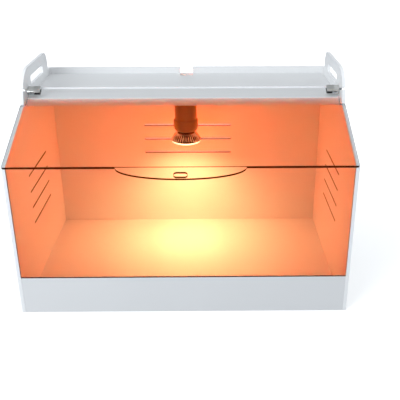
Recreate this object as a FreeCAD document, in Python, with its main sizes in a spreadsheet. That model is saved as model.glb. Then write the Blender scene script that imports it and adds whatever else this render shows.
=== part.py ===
"""Chick brooder box: white board walls, a clear hinged lid over the sloping front, and a heat lamp.

Frame: millimetres, +Z up, the front towards -Y. The origin is at the centre of the floor's underside.
Heights are measured up from the floor's underside, and depths back from the front edges of the walls.
"""
import FreeCAD
import Part
import Sketcher
import math
import os
import re

SIZES = (
    ("box_width", 600.0, "outside width over the two side walls"),
    ("box_depth", 394.0, "outside depth, from the walls' front edges to the back"),
    ("board_thickness", 6.0, "thickness of every white board"),
    ("roof_height", 354.0, "height of the roof's top face"),
    ("roof_front_depth", 180.0, "depth at which the roof begins"),
    ("front_drop", 70.0, "how much lower the walls' front edges are than the roof's top"),
    ("back_rise", 13.5, "how far the back wall stands above the roof"),
    ("ear_rise", 52.0, "how far the carrying ears stand above the roof"),
    ("ear_lead", 20.0, "how far the ears begin in front of the roof"),
    ("ear_back_inset", 22.0, "distance of the ears' back edges from the back"),
    ("ear_front_radius", 58.0, "rounding of an ear's front corner"),
    ("ear_back_radius", 24.0, "rounding of an ear's back corner"),
    ("ear_foot_radius", 4.0, "rounding where an ear's back edge meets the wall's top"),
    ("grip_back_inset", 42.0, "distance of the hand slot from the ear's back edge"),
    ("grip_length", 102.0, "length of the hand slot"),
    ("grip_drop", 20.0, "distance of the hand slot below the ear's top edge"),
    ("grip_height", 16.0, "height of the hand slot's opening"),
    ("grip_radius", 5.0, "rounding of the hand slot's corners"),
    ("side_vent_start", 133.5, "depth of a side vent's front end"),
    ("side_vent_length", 142.0, "length of a side vent"),
    ("side_vent_low", 119.7, "height of the lowest side vent"),
    ("side_vent_pitch", 32.5, "distance from one side vent to the next"),
    ("side_vent_count", 4, "vents in each side wall"),
    ("back_vent_length", 193.0, "length of a back vent"),
    ("back_vent_low", 174.6, "height of the lowest back vent"),
    ("back_vent_pitch", 31.8, "distance from one back vent to the next"),
    ("back_vent_count", 3, "vents in the back wall"),
    ("vent_width", 2.5, "width of every vent"),
    ("cable_notch_width", 27.0, "width of the lamp cable's notch at the back"),
    ("cable_notch_depth", 20.0, "depth of that notch in the roof"),
    ("cable_notch_radius", 6.0, "rounding of that notch's inner corners"),
    ("front_inset", 0.5, "how far the front board stands behind the walls' front edges"),
    ("front_board_height", 71.5, "height of the front board"),
    ("window_thickness", 4.0, "thickness of the clear front window"),
    ("window_inset", 0.5, "how far the window stands behind the front board's face"),
    ("window_top_gap", 0.6, "gap between the window's top edge and the lid's slope"),
    ("window_corner", 3.0, "cut at the window's upper corners"),
    ("roof_strip_height", 14.0, "height of the strip across the roof's front edge"),
    ("lid_thickness", 4.0, "thickness of the clear lid"),
    ("lid_rest_gap", 0.2, "gap between the closed lid and the walls' sloping edges"),
    ("lid_roof_gap", 1.0, "height of the walls' slope above the roof's front edge"),
    ("lid_side_inset", 1.0, "how far the lid stays inside the walls' outer faces"),
    ("lid_front_overhang", 3.0, "how far the lid reaches past the walls' front edges"),
    ("lid_shoulder_gap", 3.0, "gap between the lid's shoulders and the ears' front edges"),
    ("lid_neck_gap", 4.0, "gap between the lid's neck and each wall"),
    ("lid_back_margin", 7.5, "how far the lid reaches behind its hinge line"),
    ("lid_corner_radius", 4.0, "rounding of the lid's outer corners"),
    ("hinge_back_distance", 21.5, "distance of the hinge line up the slope from the roof's front"),
    ("tab_width", 220.0, "width of the lid's lifting tab"),
    ("tab_reach", 28.5, "how far the tab stands out from the lid's front edge"),
    ("finger_slot_length", 24.0, "length of the finger slot in the tab"),
    ("finger_slot_width", 11.0, "width of that slot"),
    ("finger_slot_inset", 18.0, "distance from the lid's front edge out to that slot's middle"),
    ("clip_wall_gap", 0.5, "gap between a hinge clip and its wall"),
    ("clip_width", 23.0, "width of a hinge clip along the hinge line"),
    ("clip_length", 18.0, "length of a hinge clip along the lid"),
    ("clip_thickness", 12.0, "thickness of a hinge clip"),
    ("clip_bevel", 3.0, "bevel along a hinge clip's long edges"),
    ("clip_end_block", 12.0, "solid end of a hinge clip, which holds the pin"),
    ("clip_tongue_gap", 0.5, "gap between the lid's corner and a clip's solid end"),
    ("clip_relief_gap", 2.0, "gap between a clip's front and the step in the lid's neck"),
    ("pad_thickness", 1.0, "thickness of the pad under the lid inside a clip"),
    ("pad_margin", 1.0, "how far the pad stays inside a clip's ends"),
    ("pin_diameter", 4.0, "diameter of a hinge pin"),
    ("pin_end_wall", 1.0, "solid left behind the pin's bore in its clip"),
    ("pin_bore_clearance", 0.02, "radial clearance of the pin in its clip"),
    ("pin_slot_clearance", 0.05, "radial clearance of the pin in the ear's slot"),
    ("pin_end_inset", 0.5, "how far a pin ends inside the wall's outer face"),
    ("pin_slot_angle", 16.0, "rise of the ear's open pin slot towards the front, in degrees"),
    ("lock_screw_diameter", 5.0, "diameter of the screw that locks a pin"),
    ("lock_screw_inset", 7.0, "distance of that screw from the clip's outer end"),
    ("lock_screw_recess", 1.2, "how deep that screw sits in the clip's front"),
    ("clamp_screw_diameter", 4.0, "diameter of the screw that clamps the lid"),
    ("lock_socket_width", 2.5, "hexagon socket of the locking screw"),
    ("clamp_socket_width", 2.0, "hexagon socket of the clamping screw"),
    ("socket_depth", 1.6, "depth of the hexagon sockets"),
    ("screw_thread_clearance", 0.02, "radial clearance of the small screws in their holes"),
    ("lamp_back_distance", 110.0, "distance of the lamp's axis from the back"),
    ("holder_diameter", 45.0, "diameter of the lamp holder's upper housing"),
    ("holder_height", 63.0, "height of that housing"),
    ("holder_wall", 2.5, "wall of that housing"),
    ("holder_top", 3.0, "thickness of that housing's top"),
    ("cable_hole_diameter", 8.0, "diameter of the cable's hole in the housing"),
    ("cable_hole_drop", 20.0, "distance of that hole below the roof"),
    ("skirt_diameter", 50.0, "diameter of the lamp holder's screwed skirt"),
    ("skirt_height", 25.0, "height of that skirt"),
    ("skirt_web", 3.0, "thickness of the ledge between that skirt and its sleeve"),
    ("skirt_mouth_clearance", 3.0, "radial clearance of the bulb in the skirt's lower opening"),
    ("sleeve_height", 20.0, "height of the skirt's sleeve inside the housing"),
    ("sleeve_wall", 2.3, "wall of that sleeve"),
    ("sleeve_clearance", 0.05, "radial clearance of that sleeve in the housing"),
    ("insert_drop", 9.0, "distance of the ceramic insert's top below the roof"),
    ("insert_top", 5.5, "thickness of the insert's top"),
    ("insert_clearance", 0.5, "radial clearance of the insert in the housing"),
    ("rivet_diameter", 5.0, "diameter of the centre contact's rivet"),
    ("rivet_clearance", 0.05, "radial clearance of that rivet in the insert"),
    ("contact_length", 14.0, "length of the centre contact's tongue"),
    ("contact_width", 6.0, "width of that tongue"),
    ("contact_thickness", 0.6, "thickness of that tongue"),
    ("contact_drop", 1.2, "how far that tongue springs down"),
    ("shell_wall", 0.4, "thickness of the brass screw shell"),
    ("shell_fit", 0.05, "radial clearance of the screw shell in the insert"),
    ("shell_height", 26.0, "height of the brass screw shell"),
    ("shell_clearance", 0.4, "radial clearance of the bulb's cap in the shell"),
    ("terminal_length", 8.0, "length of a cable terminal"),
    ("terminal_width", 6.0, "width of a cable terminal"),
    ("terminal_height", 4.0, "height of a cable terminal"),
    ("terminal_spacing", 20.0, "distance between the two terminals"),
    ("terminal_screw_diameter", 3.0, "diameter of a terminal's screw"),
    ("holder_screw_spacing", 24.0, "distance between the two screws that hold the housing"),
    ("holder_screw_diameter", 3.0, "diameter of those screws"),
    ("holder_screw_head", 6.0, "diameter of those screws' heads"),
    ("holder_screw_head_height", 2.0, "height of those screws' heads"),
    ("holder_screw_bite", 4.5, "how deep those screws go into the roof"),
    ("screw_hole_extra", 0.5, "how far their holes run past their ends"),
    ("bulb_tip_gap", 0.4, "gap between the bulb's tip and the centre contact"),
    ("bulb_diameter", 62.4, "diameter of the bulb's reflector"),
    ("bulb_cap_diameter", 26.2, "diameter of the bulb's screw cap"),
    ("bulb_cap_height", 22.0, "height of the bulb's screw cap"),
    ("bulb_neck_diameter", 34.0, "diameter of the bulb's straight neck above the flared reflector"),
    ("bulb_flare_drop", 1.0, "how far below the skirt the reflector begins to flare"),
    ("bulb_flare_height", 19.0, "height of the flared reflector"),
    ("bulb_rim_height", 7.0, "height of the bulb's face below its widest line"),
    ("bulb_face_diameter", 38.0, "diameter of the flat middle of the bulb's face"),
    ("insulator_diameter", 18.0, "diameter of the black ring at the bulb's tip"),
    ("insulator_height", 4.0, "height of the black ring at the bulb's tip"),
    ("tip_diameter", 9.0, "diameter of the bulb's tip contact"),
    ("tip_height", 2.0, "height of the bulb's tip contact"),
)

doc = FreeCAD.newDocument("chick_brooder_box")
sizes = doc.addObject("Spreadsheet::Sheet", "sizes")
for row, (alias, value, meaning) in enumerate(SIZES, start=1):
    sizes.set("A%d" % row, alias)
    sizes.set("B%d" % row, str(value))
    sizes.set("C%d" % row, meaning)
    sizes.setAlias("B%d" % row, alias)
doc.recompute()
ALIASES = {alias for alias, value, meaning in SIZES}

# Places that several pieces share, as expressions of the driving sizes.
FRONT = "(-box_depth / 2)"
BACK = "(box_depth / 2)"
INNER_X = "(box_width / 2 - board_thickness)"
INNER_BACK = "(box_depth / 2 - board_thickness)"
FRONT_HEIGHT = "(roof_height - front_drop)"
BACK_HEIGHT = "(roof_height + back_rise)"
EAR_TOP = "(roof_height + ear_rise)"
EAR_FRONT = "(roof_front_depth - ear_lead)"
EAR_BACK_Y = "(box_depth / 2 - ear_back_inset)"
SLOPE_RISE = "((front_drop + lid_roof_gap) / roof_front_depth)"
SLOPE = "atan(%s)" % SLOPE_RISE
LID_MIDDLE = "(lid_rest_gap + lid_thickness / 2)"
HINGE_REACH = "(roof_front_depth / cos(%s) + hinge_back_distance)" % SLOPE
PIVOT_Y = "(%s + %s * cos(%s) - %s * sin(%s))" % (FRONT, HINGE_REACH, SLOPE, LID_MIDDLE, SLOPE)
PIVOT_Z = "(%s + %s * sin(%s) + %s * cos(%s))" % (FRONT_HEIGHT, HINGE_REACH, SLOPE, LID_MIDDLE, SLOPE)
LID_FRONT = "(-%s - lid_front_overhang)" % HINGE_REACH
LID_SHOULDER = "((%s - lid_shoulder_gap) / cos(%s) - %s)" % (EAR_FRONT, SLOPE, HINGE_REACH)
CLIP_OUTER = "(%s - clip_wall_gap)" % INNER_X
CLIP_INNER = "(%s - clip_wall_gap - clip_width)" % INNER_X
TONGUE_X = "(%s - clip_wall_gap - clip_end_block - clip_tongue_gap)" % INNER_X
PIN_INNER = "(%s - clip_wall_gap - clip_end_block + pin_end_wall)" % INNER_X
CLIP_FLOOR = "(-lid_thickness / 2 - pad_thickness)"
CLAMP_X = "((%s + %s - clip_end_block) / 2)" % (CLIP_INNER, CLIP_OUTER)
ROOF_UNDERSIDE = "(roof_height - board_thickness)"
ROOF_FRONT = "(%s + roof_front_depth + board_thickness)" % FRONT
LAMP_Y = "(box_depth / 2 - lamp_back_distance)"
HOUSING_BORE = "(holder_diameter / 2 - holder_wall)"
SLEEVE_TOP = "(-holder_height + sleeve_height)"
SLEEVE_BORE = "(%s - sleeve_clearance - sleeve_wall)" % HOUSING_BORE
SKIRT_BOTTOM = "(-holder_height - skirt_height)"
INSERT_CEILING = "(-insert_drop - insert_top)"
SHELL_BORE = "(bulb_cap_diameter / 2 + shell_clearance)"
SHELL_SEAT = "(%s + shell_wall + shell_fit)" % SHELL_BORE
TONGUE_LOW = "(%s - contact_thickness - contact_drop)" % INSERT_CEILING
BULB_TIP = "(%s - bulb_tip_gap)" % TONGUE_LOW
BULB_CAP_TOP = "(%s - tip_height - insulator_height)" % BULB_TIP
BULB_CAP_BOTTOM = "(%s - bulb_cap_height)" % BULB_CAP_TOP
SKIRT_MOUTH = "(bulb_neck_diameter / 2 + skirt_mouth_clearance)"
BULB_FLARE_TOP = "(%s - bulb_flare_drop)" % SKIRT_BOTTOM
BULB_RIM = "(%s - bulb_flare_height)" % BULB_FLARE_TOP
BULB_FACE = "(%s - bulb_rim_height)" % BULB_RIM


def bound(text):
    """The expression with every size's alias read from the sheet."""
    return re.sub(r"[a-z_]+", lambda m: "sizes." + m.group(0) if m.group(0) in ALIASES else m.group(0), str(text))


def value_of(text):
    """The expression's present value as a number."""
    result = sizes.evalExpression(bound(text))
    return float(getattr(result, "Value", result))


def bind(thing, path, text):
    """Ties one property of an object to the sheet."""
    thing.setExpression(path, bound(text))


def new_body(label):
    body = doc.addObject("PartDesign::Body", label)
    body.Label = label
    return body


def place(thing, x="0", y="0", z="0", tilt="0"):
    """Places an object, tilted about the X axis, by expressions."""
    point = FreeCAD.Vector(value_of(x), value_of(y), value_of(z))
    thing.Placement = FreeCAD.Placement(point, FreeCAD.Rotation(FreeCAD.Vector(1, 0, 0), value_of(tilt)))
    bind(thing, "Placement.Base.x", x)
    bind(thing, "Placement.Base.y", y)
    bind(thing, "Placement.Base.z", z)
    if tilt != "0":
        bind(thing, "Placement.Rotation.Angle", tilt)


def new_sketch(body, name, plane, away="0", right="0", up="0", turn=None):
    """A sketch on one of the body's own origin planes, moved along its normal and in its plane."""
    sketch = body.newObject("Sketcher::SketchObject", body.Label + "_" + name)
    support = [feature for feature in body.Origin.OriginFeatures if feature.Role == plane][0]
    sketch.AttachmentSupport = [(support, "")]
    sketch.MapMode = "FlatFace"
    point = FreeCAD.Vector(value_of(right), value_of(up), value_of(away))
    angle = 0.0 if turn is None else value_of(turn)
    sketch.AttachmentOffset = FreeCAD.Placement(point, FreeCAD.Rotation(FreeCAD.Vector(0, 0, 1), angle))
    bind(sketch, "AttachmentOffset.Base.x", right)
    bind(sketch, "AttachmentOffset.Base.y", up)
    bind(sketch, "AttachmentOffset.Base.z", away)
    if turn is not None:
        bind(sketch, "AttachmentOffset.Rotation.Angle", turn)
    return sketch


def dimension(sketch, kind, text, *where):
    """Adds a dimension that follows its expression."""
    index = sketch.addConstraint(Sketcher.Constraint(kind, *where, value_of(text)))
    name = "size_%d" % index
    sketch.renameConstraint(index, name)
    bind(sketch, "Constraints." + name, text)


def fix_point(sketch, geometry, point, x, y):
    """Holds a point of the sketch at expressions of the sizes."""
    dimension(sketch, "DistanceX", x, -1, 1, geometry, point)
    dimension(sketch, "DistanceY", y, -1, 1, geometry, point)


def draw_outline(sketch, points):
    """A closed outline of straight lines through the given corners."""
    corners = [FreeCAD.Vector(value_of(x), value_of(y), 0) for x, y in points]
    count = len(corners)
    lines = [sketch.addGeometry(Part.LineSegment(corners[i], corners[(i + 1) % count]), False)
             for i in range(count)]
    for i in range(count):
        sketch.addConstraint(Sketcher.Constraint("Coincident", lines[i], 2, lines[(i + 1) % count], 1))
        fix_point(sketch, lines[i], 1, *points[i])


def draw_rectangle(sketch, left, low, right, high):
    draw_outline(sketch, ((left, low), (right, low), (right, high), (left, high)))


def draw_circle(sketch, x, y, diameter):
    centre = FreeCAD.Vector(value_of(x), value_of(y), 0)
    circle = sketch.addGeometry(Part.Circle(centre, FreeCAD.Vector(0, 0, 1), value_of(diameter) / 2), False)
    fix_point(sketch, circle, 3, x, y)
    dimension(sketch, "Diameter", diameter, circle)


def draw_round_slot(sketch, left, right, middle, width):
    """A slot along the sketch's first axis, with a half circle at each end."""
    low = "(%s - %s / 2)" % (middle, width)
    high = "(%s + %s / 2)" % (middle, width)
    first = "(%s + %s / 2)" % (left, width)
    last = "(%s - %s / 2)" % (right, width)
    up = FreeCAD.Vector(0, 0, 1)
    radius = value_of(width) / 2
    corners = {key: FreeCAD.Vector(value_of(x), value_of(y), 0)
               for key, x, y in (("a", first, low), ("b", last, low), ("c", last, high), ("d", first, high))}
    end = Part.Circle(FreeCAD.Vector(value_of(last), value_of(middle), 0), up, radius)
    start = Part.Circle(FreeCAD.Vector(value_of(first), value_of(middle), 0), up, radius)
    bottom = sketch.addGeometry(Part.LineSegment(corners["a"], corners["b"]), False)
    outer = sketch.addGeometry(Part.ArcOfCircle(end, -math.pi / 2, math.pi / 2), False)
    top = sketch.addGeometry(Part.LineSegment(corners["c"], corners["d"]), False)
    inner = sketch.addGeometry(Part.ArcOfCircle(start, math.pi / 2, 3 * math.pi / 2), False)
    sketch.addConstraint(Sketcher.Constraint("Tangent", bottom, 2, outer, 1))
    sketch.addConstraint(Sketcher.Constraint("Tangent", outer, 2, top, 1))
    sketch.addConstraint(Sketcher.Constraint("Tangent", top, 2, inner, 1))
    sketch.addConstraint(Sketcher.Constraint("Coincident", inner, 2, bottom, 1))
    fix_point(sketch, bottom, 1, first, low)
    fix_point(sketch, bottom, 2, last, low)
    dimension(sketch, "DistanceY", high, -1, 1, top, 1)


def add_pad(body, sketch, length):
    pad = body.newObject("PartDesign::Pad", sketch.Label + "_pad")
    pad.Profile = sketch
    bind(pad, "Length", length)
    body.Tip = pad
    doc.recompute()
    return pad


def add_pocket(body, sketch, length=None, forward=False, both_ways=False):
    """A cut to a depth, or right through where no depth is given."""
    before = body.Tip.Shape.Volume
    pocket = body.newObject("PartDesign::Pocket", sketch.Label + "_cut")
    pocket.Profile = sketch
    if length is None:
        pocket.Type = "ThroughAll"
    else:
        bind(pocket, "Length", length)
    pocket.Reversed = forward
    pocket.Midplane = both_ways
    body.Tip = pocket
    doc.recompute()
    if pocket.Shape.Volume > before - 1e-3:
        raise RuntimeError(sketch.Label + " cuts nothing")
    return pocket


def add_revolution(body, sketch):
    turned = body.newObject("PartDesign::Revolution", sketch.Label + "_turned")
    turned.Profile = sketch
    turned.ReferenceAxis = (sketch, ["V_Axis"])
    turned.Angle = 360
    body.Tip = turned
    doc.recompute()
    return turned


def add_row_of(body, feature, sketch, axis, length, count):
    """Repeats a cut in a straight row."""
    row = body.newObject("PartDesign::LinearPattern", feature.Label + "_row")
    row.Originals = [feature]
    row.Direction = (sketch, [axis])
    bind(row, "Length", length)
    bind(row, "Occurrences", count)
    body.Tip = row
    doc.recompute()
    return row


def edges_along(shape, direction, tests):
    """Names of the straight edges along a direction whose middles pass any of the tests."""
    names = []
    for number, edge in enumerate(shape.Edges, start=1):
        if edge.Curve.TypeId != "Part::GeomLine":
            continue
        run = edge.Vertexes[1].Point - edge.Vertexes[0].Point
        if abs(run.normalize().dot(direction)) < 0.999:
            continue
        middle = edge.CenterOfMass
        if any(test(middle) for test in tests):
            names.append("Edge%d" % number)
    return names


def add_dressing(body, kind, name, edges, length):
    """A PartDesign fillet or chamfer of the body's present shape."""
    if not edges:
        raise RuntimeError(body.Label + " has no edge for " + name)
    base = body.Tip
    dressing = body.newObject("PartDesign::" + kind, body.Label + "_" + name)
    dressing.Base = (base, edges)
    bind(dressing, "Radius" if kind == "Fillet" else "Size", length)
    body.Tip = dressing
    doc.recompute()
    return dressing


def near_point(axes, *corners):
    """Tests whether an edge's middle is at one of the corners, looking along the third axis."""
    places = [(value_of(a), value_of(b)) for a, b in corners]
    first, second = axes

    def test(middle):
        here = (getattr(middle, first), getattr(middle, second))
        return any(abs(here[0] - a) < 1e-3 and abs(here[1] - b) < 1e-3 for a, b in places)

    return [test]


def make_board(label, plane, away, corners, thickness="board_thickness"):
    """A flat panel: an outline on one of the body's planes, with its thickness along the plane's normal."""
    body = new_body(label)
    sketch = new_sketch(body, "outline", plane, away)
    draw_outline(sketch, corners)
    add_pad(body, sketch, thickness)
    return body


def slope_height(depth):
    """Height of the walls' sloping edge at a depth behind their front edges."""
    return "(%s + (%s) * %s)" % (FRONT_HEIGHT, depth, SLOPE_RISE)


def drill(body, name, plane, away, spots, diameter, length, forward):
    """Round holes from one plane into a body."""
    sketch = new_sketch(body, name, plane, away)
    for x, y in spots:
        draw_circle(sketch, x, y, diameter)
    return add_pocket(body, sketch, length, forward=forward)


X_AXIS = FreeCAD.Vector(1, 0, 0)
Y_AXIS = FreeCAD.Vector(0, 1, 0)
Z_AXIS = FreeCAD.Vector(0, 0, 1)


# Side walls, each cut with its carrying ear from one board
def make_side_wall(label, start):
    ear_front_y = "(%s + %s)" % (FRONT, EAR_FRONT)
    ear_foot_height = "(ear_rise - back_rise)"
    ear_nose_height = "(%s - %s)" % (EAR_TOP, slope_height(EAR_FRONT))
    body = make_board(label, "YZ_Plane", start, (
        (FRONT, "0"), (BACK, "0"), (BACK, BACK_HEIGHT), (EAR_BACK_Y, BACK_HEIGHT),
        (EAR_BACK_Y, EAR_TOP), (ear_front_y, EAR_TOP),
        (ear_front_y, slope_height(EAR_FRONT)), (FRONT, FRONT_HEIGHT)))
    for name, corner, radius in (
            ("ear_front", (ear_front_y, EAR_TOP), "min(ear_front_radius; 0.99 * %s)" % ear_nose_height),
            ("ear_back", (EAR_BACK_Y, EAR_TOP), "min(ear_back_radius; 0.65 * %s)" % ear_foot_height),
            ("ear_foot", (EAR_BACK_Y, BACK_HEIGHT), "min(ear_foot_radius; 0.3 * %s)" % ear_foot_height)):
        edges = edges_along(body.Shape, X_AXIS, near_point("yz", corner))
        add_dressing(body, "Fillet", name, edges, radius)

    grip_back = "(%s - grip_back_inset)" % EAR_BACK_Y
    grip_front = "(%s - grip_length)" % grip_back
    grip_top = "(%s - grip_drop)" % EAR_TOP
    grip_bottom = "(%s - grip_height)" % grip_top
    grip = new_sketch(body, "hand_slot", "YZ_Plane", start)
    draw_rectangle(grip, grip_front, grip_bottom, grip_back, grip_top)
    add_pocket(body, grip, None, forward=True)
    corners = near_point("yz", (grip_front, grip_bottom), (grip_back, grip_bottom),
                         (grip_front, grip_top), (grip_back, grip_top))
    add_dressing(body, "Fillet", "hand_slot_corners", edges_along(body.Shape, X_AXIS, corners),
                 "min(grip_radius; 0.45 * grip_height)")

    vent = new_sketch(body, "vent", "YZ_Plane", start)
    draw_rectangle(vent, "(%s + side_vent_start)" % FRONT, "side_vent_low - vent_width / 2",
                   "(%s + side_vent_start + side_vent_length)" % FRONT, "side_vent_low + vent_width / 2")
    cut = add_pocket(body, vent, None, forward=True)
    add_row_of(body, cut, vent, "V_Axis", "side_vent_pitch * (side_vent_count - 1)", "side_vent_count")

    # The pin drops into this slot from the ear's front edge, so the lid lifts out.
    slot = new_sketch(body, "pin_slot", "YZ_Plane", start, PIVOT_Y, PIVOT_Z, "-pin_slot_angle")
    reach = "(%s - %s)" % (HINGE_REACH, EAR_FRONT)
    half = "(pin_diameter / 2 + pin_slot_clearance)"
    draw_round_slot(slot, "(-%s)" % reach, half, "0", "(pin_diameter + 2 * pin_slot_clearance)")
    add_pocket(body, slot, None, forward=True)
    return body


left_side_wall = make_side_wall("left_side_wall", "(-box_width / 2)")
right_side_wall = make_side_wall("right_side_wall", INNER_X)

# Floor, front board and window
floor_panel = make_board("floor_panel", "XY_Plane", "0", (
    ("-" + INNER_X, FRONT + " + front_inset + board_thickness"),
    (INNER_X, FRONT + " + front_inset + board_thickness"),
    (INNER_X, INNER_BACK), ("-" + INNER_X, INNER_BACK)))

front_board = make_board("front_board", "XZ_Plane", "(box_depth / 2 - front_inset - board_thickness)", (
    ("-" + INNER_X, "0"), (INNER_X, "0"),
    (INNER_X, "front_board_height"), ("-" + INNER_X, "front_board_height")))

WINDOW_BACK = "(box_depth / 2 - front_inset - window_inset - window_thickness)"
WINDOW_TOP = "(%s - window_top_gap)" % slope_height("front_inset + window_inset")
front_window = make_board("front_window", "XZ_Plane", WINDOW_BACK, (
    ("-" + INNER_X, "front_board_height"), (INNER_X, "front_board_height"),
    (INNER_X, WINDOW_TOP), ("-" + INNER_X, WINDOW_TOP)), "window_thickness")
window_corners = near_point("xz", (INNER_X, WINDOW_TOP), ("-" + INNER_X, WINDOW_TOP))
add_dressing(front_window, "Chamfer", "corners",
             edges_along(front_window.Shape, Y_AXIS, window_corners), "window_corner")

# Back wall, with the lamp cable's notch in its top edge and a row of vents
NOTCH_X = "(cable_notch_width / 2)"
back_wall = make_board("back_wall", "XZ_Plane", "(-box_depth / 2)", (
    ("-" + INNER_X, "0"), (INNER_X, "0"), (INNER_X, BACK_HEIGHT), (NOTCH_X, BACK_HEIGHT),
    (NOTCH_X, "roof_height"), ("-" + NOTCH_X, "roof_height"),
    ("-" + NOTCH_X, BACK_HEIGHT), ("-" + INNER_X, BACK_HEIGHT)))
back_vent = new_sketch(back_wall, "vent", "XZ_Plane", "(-box_depth / 2)")
draw_rectangle(back_vent, "(-back_vent_length / 2)", "back_vent_low - vent_width / 2",
               "(back_vent_length / 2)", "back_vent_low + vent_width / 2")
back_cut = add_pocket(back_wall, back_vent, None, forward=True)
add_row_of(back_wall, back_cut, back_vent, "V_Axis", "back_vent_pitch * (back_vent_count - 1)",
           "back_vent_count")

# Roof, with the same notch in its back edge, and the strip across its front edge
NOTCH_Y = "(%s - cable_notch_depth)" % INNER_BACK
roof_panel = make_board("roof_panel", "XY_Plane", ROOF_UNDERSIDE, (
    ("-" + INNER_X, ROOF_FRONT), (INNER_X, ROOF_FRONT), (INNER_X, INNER_BACK), (NOTCH_X, INNER_BACK),
    (NOTCH_X, NOTCH_Y), ("-" + NOTCH_X, NOTCH_Y), ("-" + NOTCH_X, INNER_BACK), ("-" + INNER_X, INNER_BACK)))
notch_corners = near_point("xy", (NOTCH_X, NOTCH_Y), ("-" + NOTCH_X, NOTCH_Y))
add_dressing(roof_panel, "Fillet", "notch", edges_along(roof_panel.Shape, Z_AXIS, notch_corners),
             "cable_notch_radius")
HOLDER_SCREW_PLACES = ("(-holder_screw_spacing / 2)", "(holder_screw_spacing / 2)")
HOLDER_SCREW_HOLE = "(holder_screw_diameter + 2 * screw_thread_clearance)"
drill(roof_panel, "holder_screw_holes", "XY_Plane", ROOF_UNDERSIDE,
      tuple(("0", LAMP_Y + " + " + y) for y in HOLDER_SCREW_PLACES), HOLDER_SCREW_HOLE,
      "(holder_screw_bite + screw_hole_extra)", True)

roof_front_strip = make_board("roof_front_strip", "XZ_Plane", "(box_depth / 2 - roof_front_depth - board_thickness)", (
    ("-" + INNER_X, "roof_height - roof_strip_height"), (INNER_X, "roof_height - roof_strip_height"),
    (INNER_X, "roof_height"), ("-" + INNER_X, "roof_height")))


# Lid: a wide front part over the walls' slope, a neck between the ears, and a lifting tab
def make_lid():
    wide = "(box_width / 2 - lid_side_inset)"
    neck = "(%s - lid_neck_gap)" % INNER_X
    step = "(-clip_length / 2 - clip_relief_gap)"
    right_half = ((wide, LID_FRONT), (wide, LID_SHOULDER), (neck, LID_SHOULDER), (neck, step),
                  (TONGUE_X, step), (TONGUE_X, "lid_back_margin"))
    left_half = tuple(("-" + x, y) for x, y in reversed(right_half))
    body = make_board("lid", "XY_Plane", "(-lid_thickness / 2)", right_half + left_half, "lid_thickness")
    corners = near_point("xy", (wide, LID_SHOULDER), ("-" + wide, LID_SHOULDER), (wide, LID_FRONT),
                         ("-" + wide, LID_FRONT))
    add_dressing(body, "Fillet", "corners", edges_along(body.Shape, Z_AXIS, corners), "lid_corner_radius")

    # The tab is the outer half of an ellipse centred on the lid's front edge.
    tab = new_sketch(body, "tab", "XY_Plane", "(-lid_thickness / 2)")
    centre = FreeCAD.Vector(0, value_of(LID_FRONT), 0)
    oval = tab.addGeometry(Part.Ellipse(centre, value_of("tab_width / 2"), value_of("tab_reach")), False)
    tab.exposeInternalGeometry(oval)
    fix_point(tab, oval, 3, "0", LID_FRONT)
    long_axis, short_axis = oval + 1, oval + 2
    tab.addConstraint(Sketcher.Constraint("Horizontal", long_axis))
    dimension(tab, "Distance", "tab_width", long_axis, 1, long_axis, 2)
    dimension(tab, "Distance", "2 * tab_reach", short_axis, 1, short_axis, 2)
    add_pad(body, tab, "lid_thickness")

    slot = new_sketch(body, "finger_slot", "XY_Plane", "(lid_thickness / 2)")
    draw_round_slot(slot, "(-finger_slot_length / 2)", "(finger_slot_length / 2)",
                    "(%s - finger_slot_inset)" % LID_FRONT, "finger_slot_width")
    add_pocket(body, slot)
    place(body, "0", PIVOT_Y, PIVOT_Z, SLOPE)
    return body


lid = make_lid()


# Hinge clips: a block that grips the lid's corner and holds the hinge pin
def make_clip(label, side):
    body = new_body(label)
    outer_face = side + CLIP_OUTER
    start = outer_face if side else CLIP_INNER
    profile = new_sketch(body, "profile", "YZ_Plane", start)
    draw_rectangle(profile, "-clip_length / 2", "-clip_thickness / 2", "clip_length / 2", "clip_thickness / 2")
    add_pad(body, profile, "clip_width")
    corners = near_point("yz", *((a + "clip_length / 2", b + "clip_thickness / 2")
                                 for a in ("-", "") for b in ("-", "")))
    add_dressing(body, "Chamfer", "bevels", edges_along(body.Shape, X_AXIS, corners), "clip_bevel")

    mouth = new_sketch(body, "mouth", "XZ_Plane")
    block_face = "%s(%s - clip_end_block)" % (side, CLIP_OUTER)
    open_end = "%s(%s - clip_wall_gap)" % (side, CLIP_INNER)
    draw_rectangle(mouth, block_face, CLIP_FLOOR, open_end, "lid_thickness / 2")
    add_pocket(body, mouth, None, both_ways=True)

    drill(body, "pin_bore", "YZ_Plane", outer_face, (("0", "0"),),
          "pin_diameter + 2 * pin_bore_clearance", "clip_end_block - pin_end_wall", bool(side))
    drill(body, "lock_hole", "XZ_Plane", "clip_length / 2",
          (("%s(%s - lock_screw_inset)" % (side, CLIP_OUTER), "0"),),
          "lock_screw_diameter + 2 * screw_thread_clearance", "clip_length / 2", False)
    drill(body, "clamp_hole", "XY_Plane", "-clip_thickness / 2", ((side + CLAMP_X, "0"),),
          "clamp_screw_diameter + 2 * screw_thread_clearance", "clip_thickness / 2 + %s" % CLIP_FLOOR, True)
    place(body, "0", PIVOT_Y, PIVOT_Z, SLOPE)
    return body


left_hinge_clip = make_clip("left_hinge_clip", "-")
right_hinge_clip = make_clip("right_hinge_clip", "")


def make_pin(label, side):
    """A hinge pin, from its bore in the clip out into the ear's slot."""
    body = new_body(label)
    outside = "(box_width / 2 - pin_end_inset)"
    profile = new_sketch(body, "profile", "YZ_Plane", side + (outside if side else PIN_INNER))
    draw_circle(profile, "0", "0", "pin_diameter")
    add_pad(body, profile, "%s - %s" % (outside, PIN_INNER))
    place(body, "0", PIVOT_Y, PIVOT_Z, SLOPE)
    return body


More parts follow.
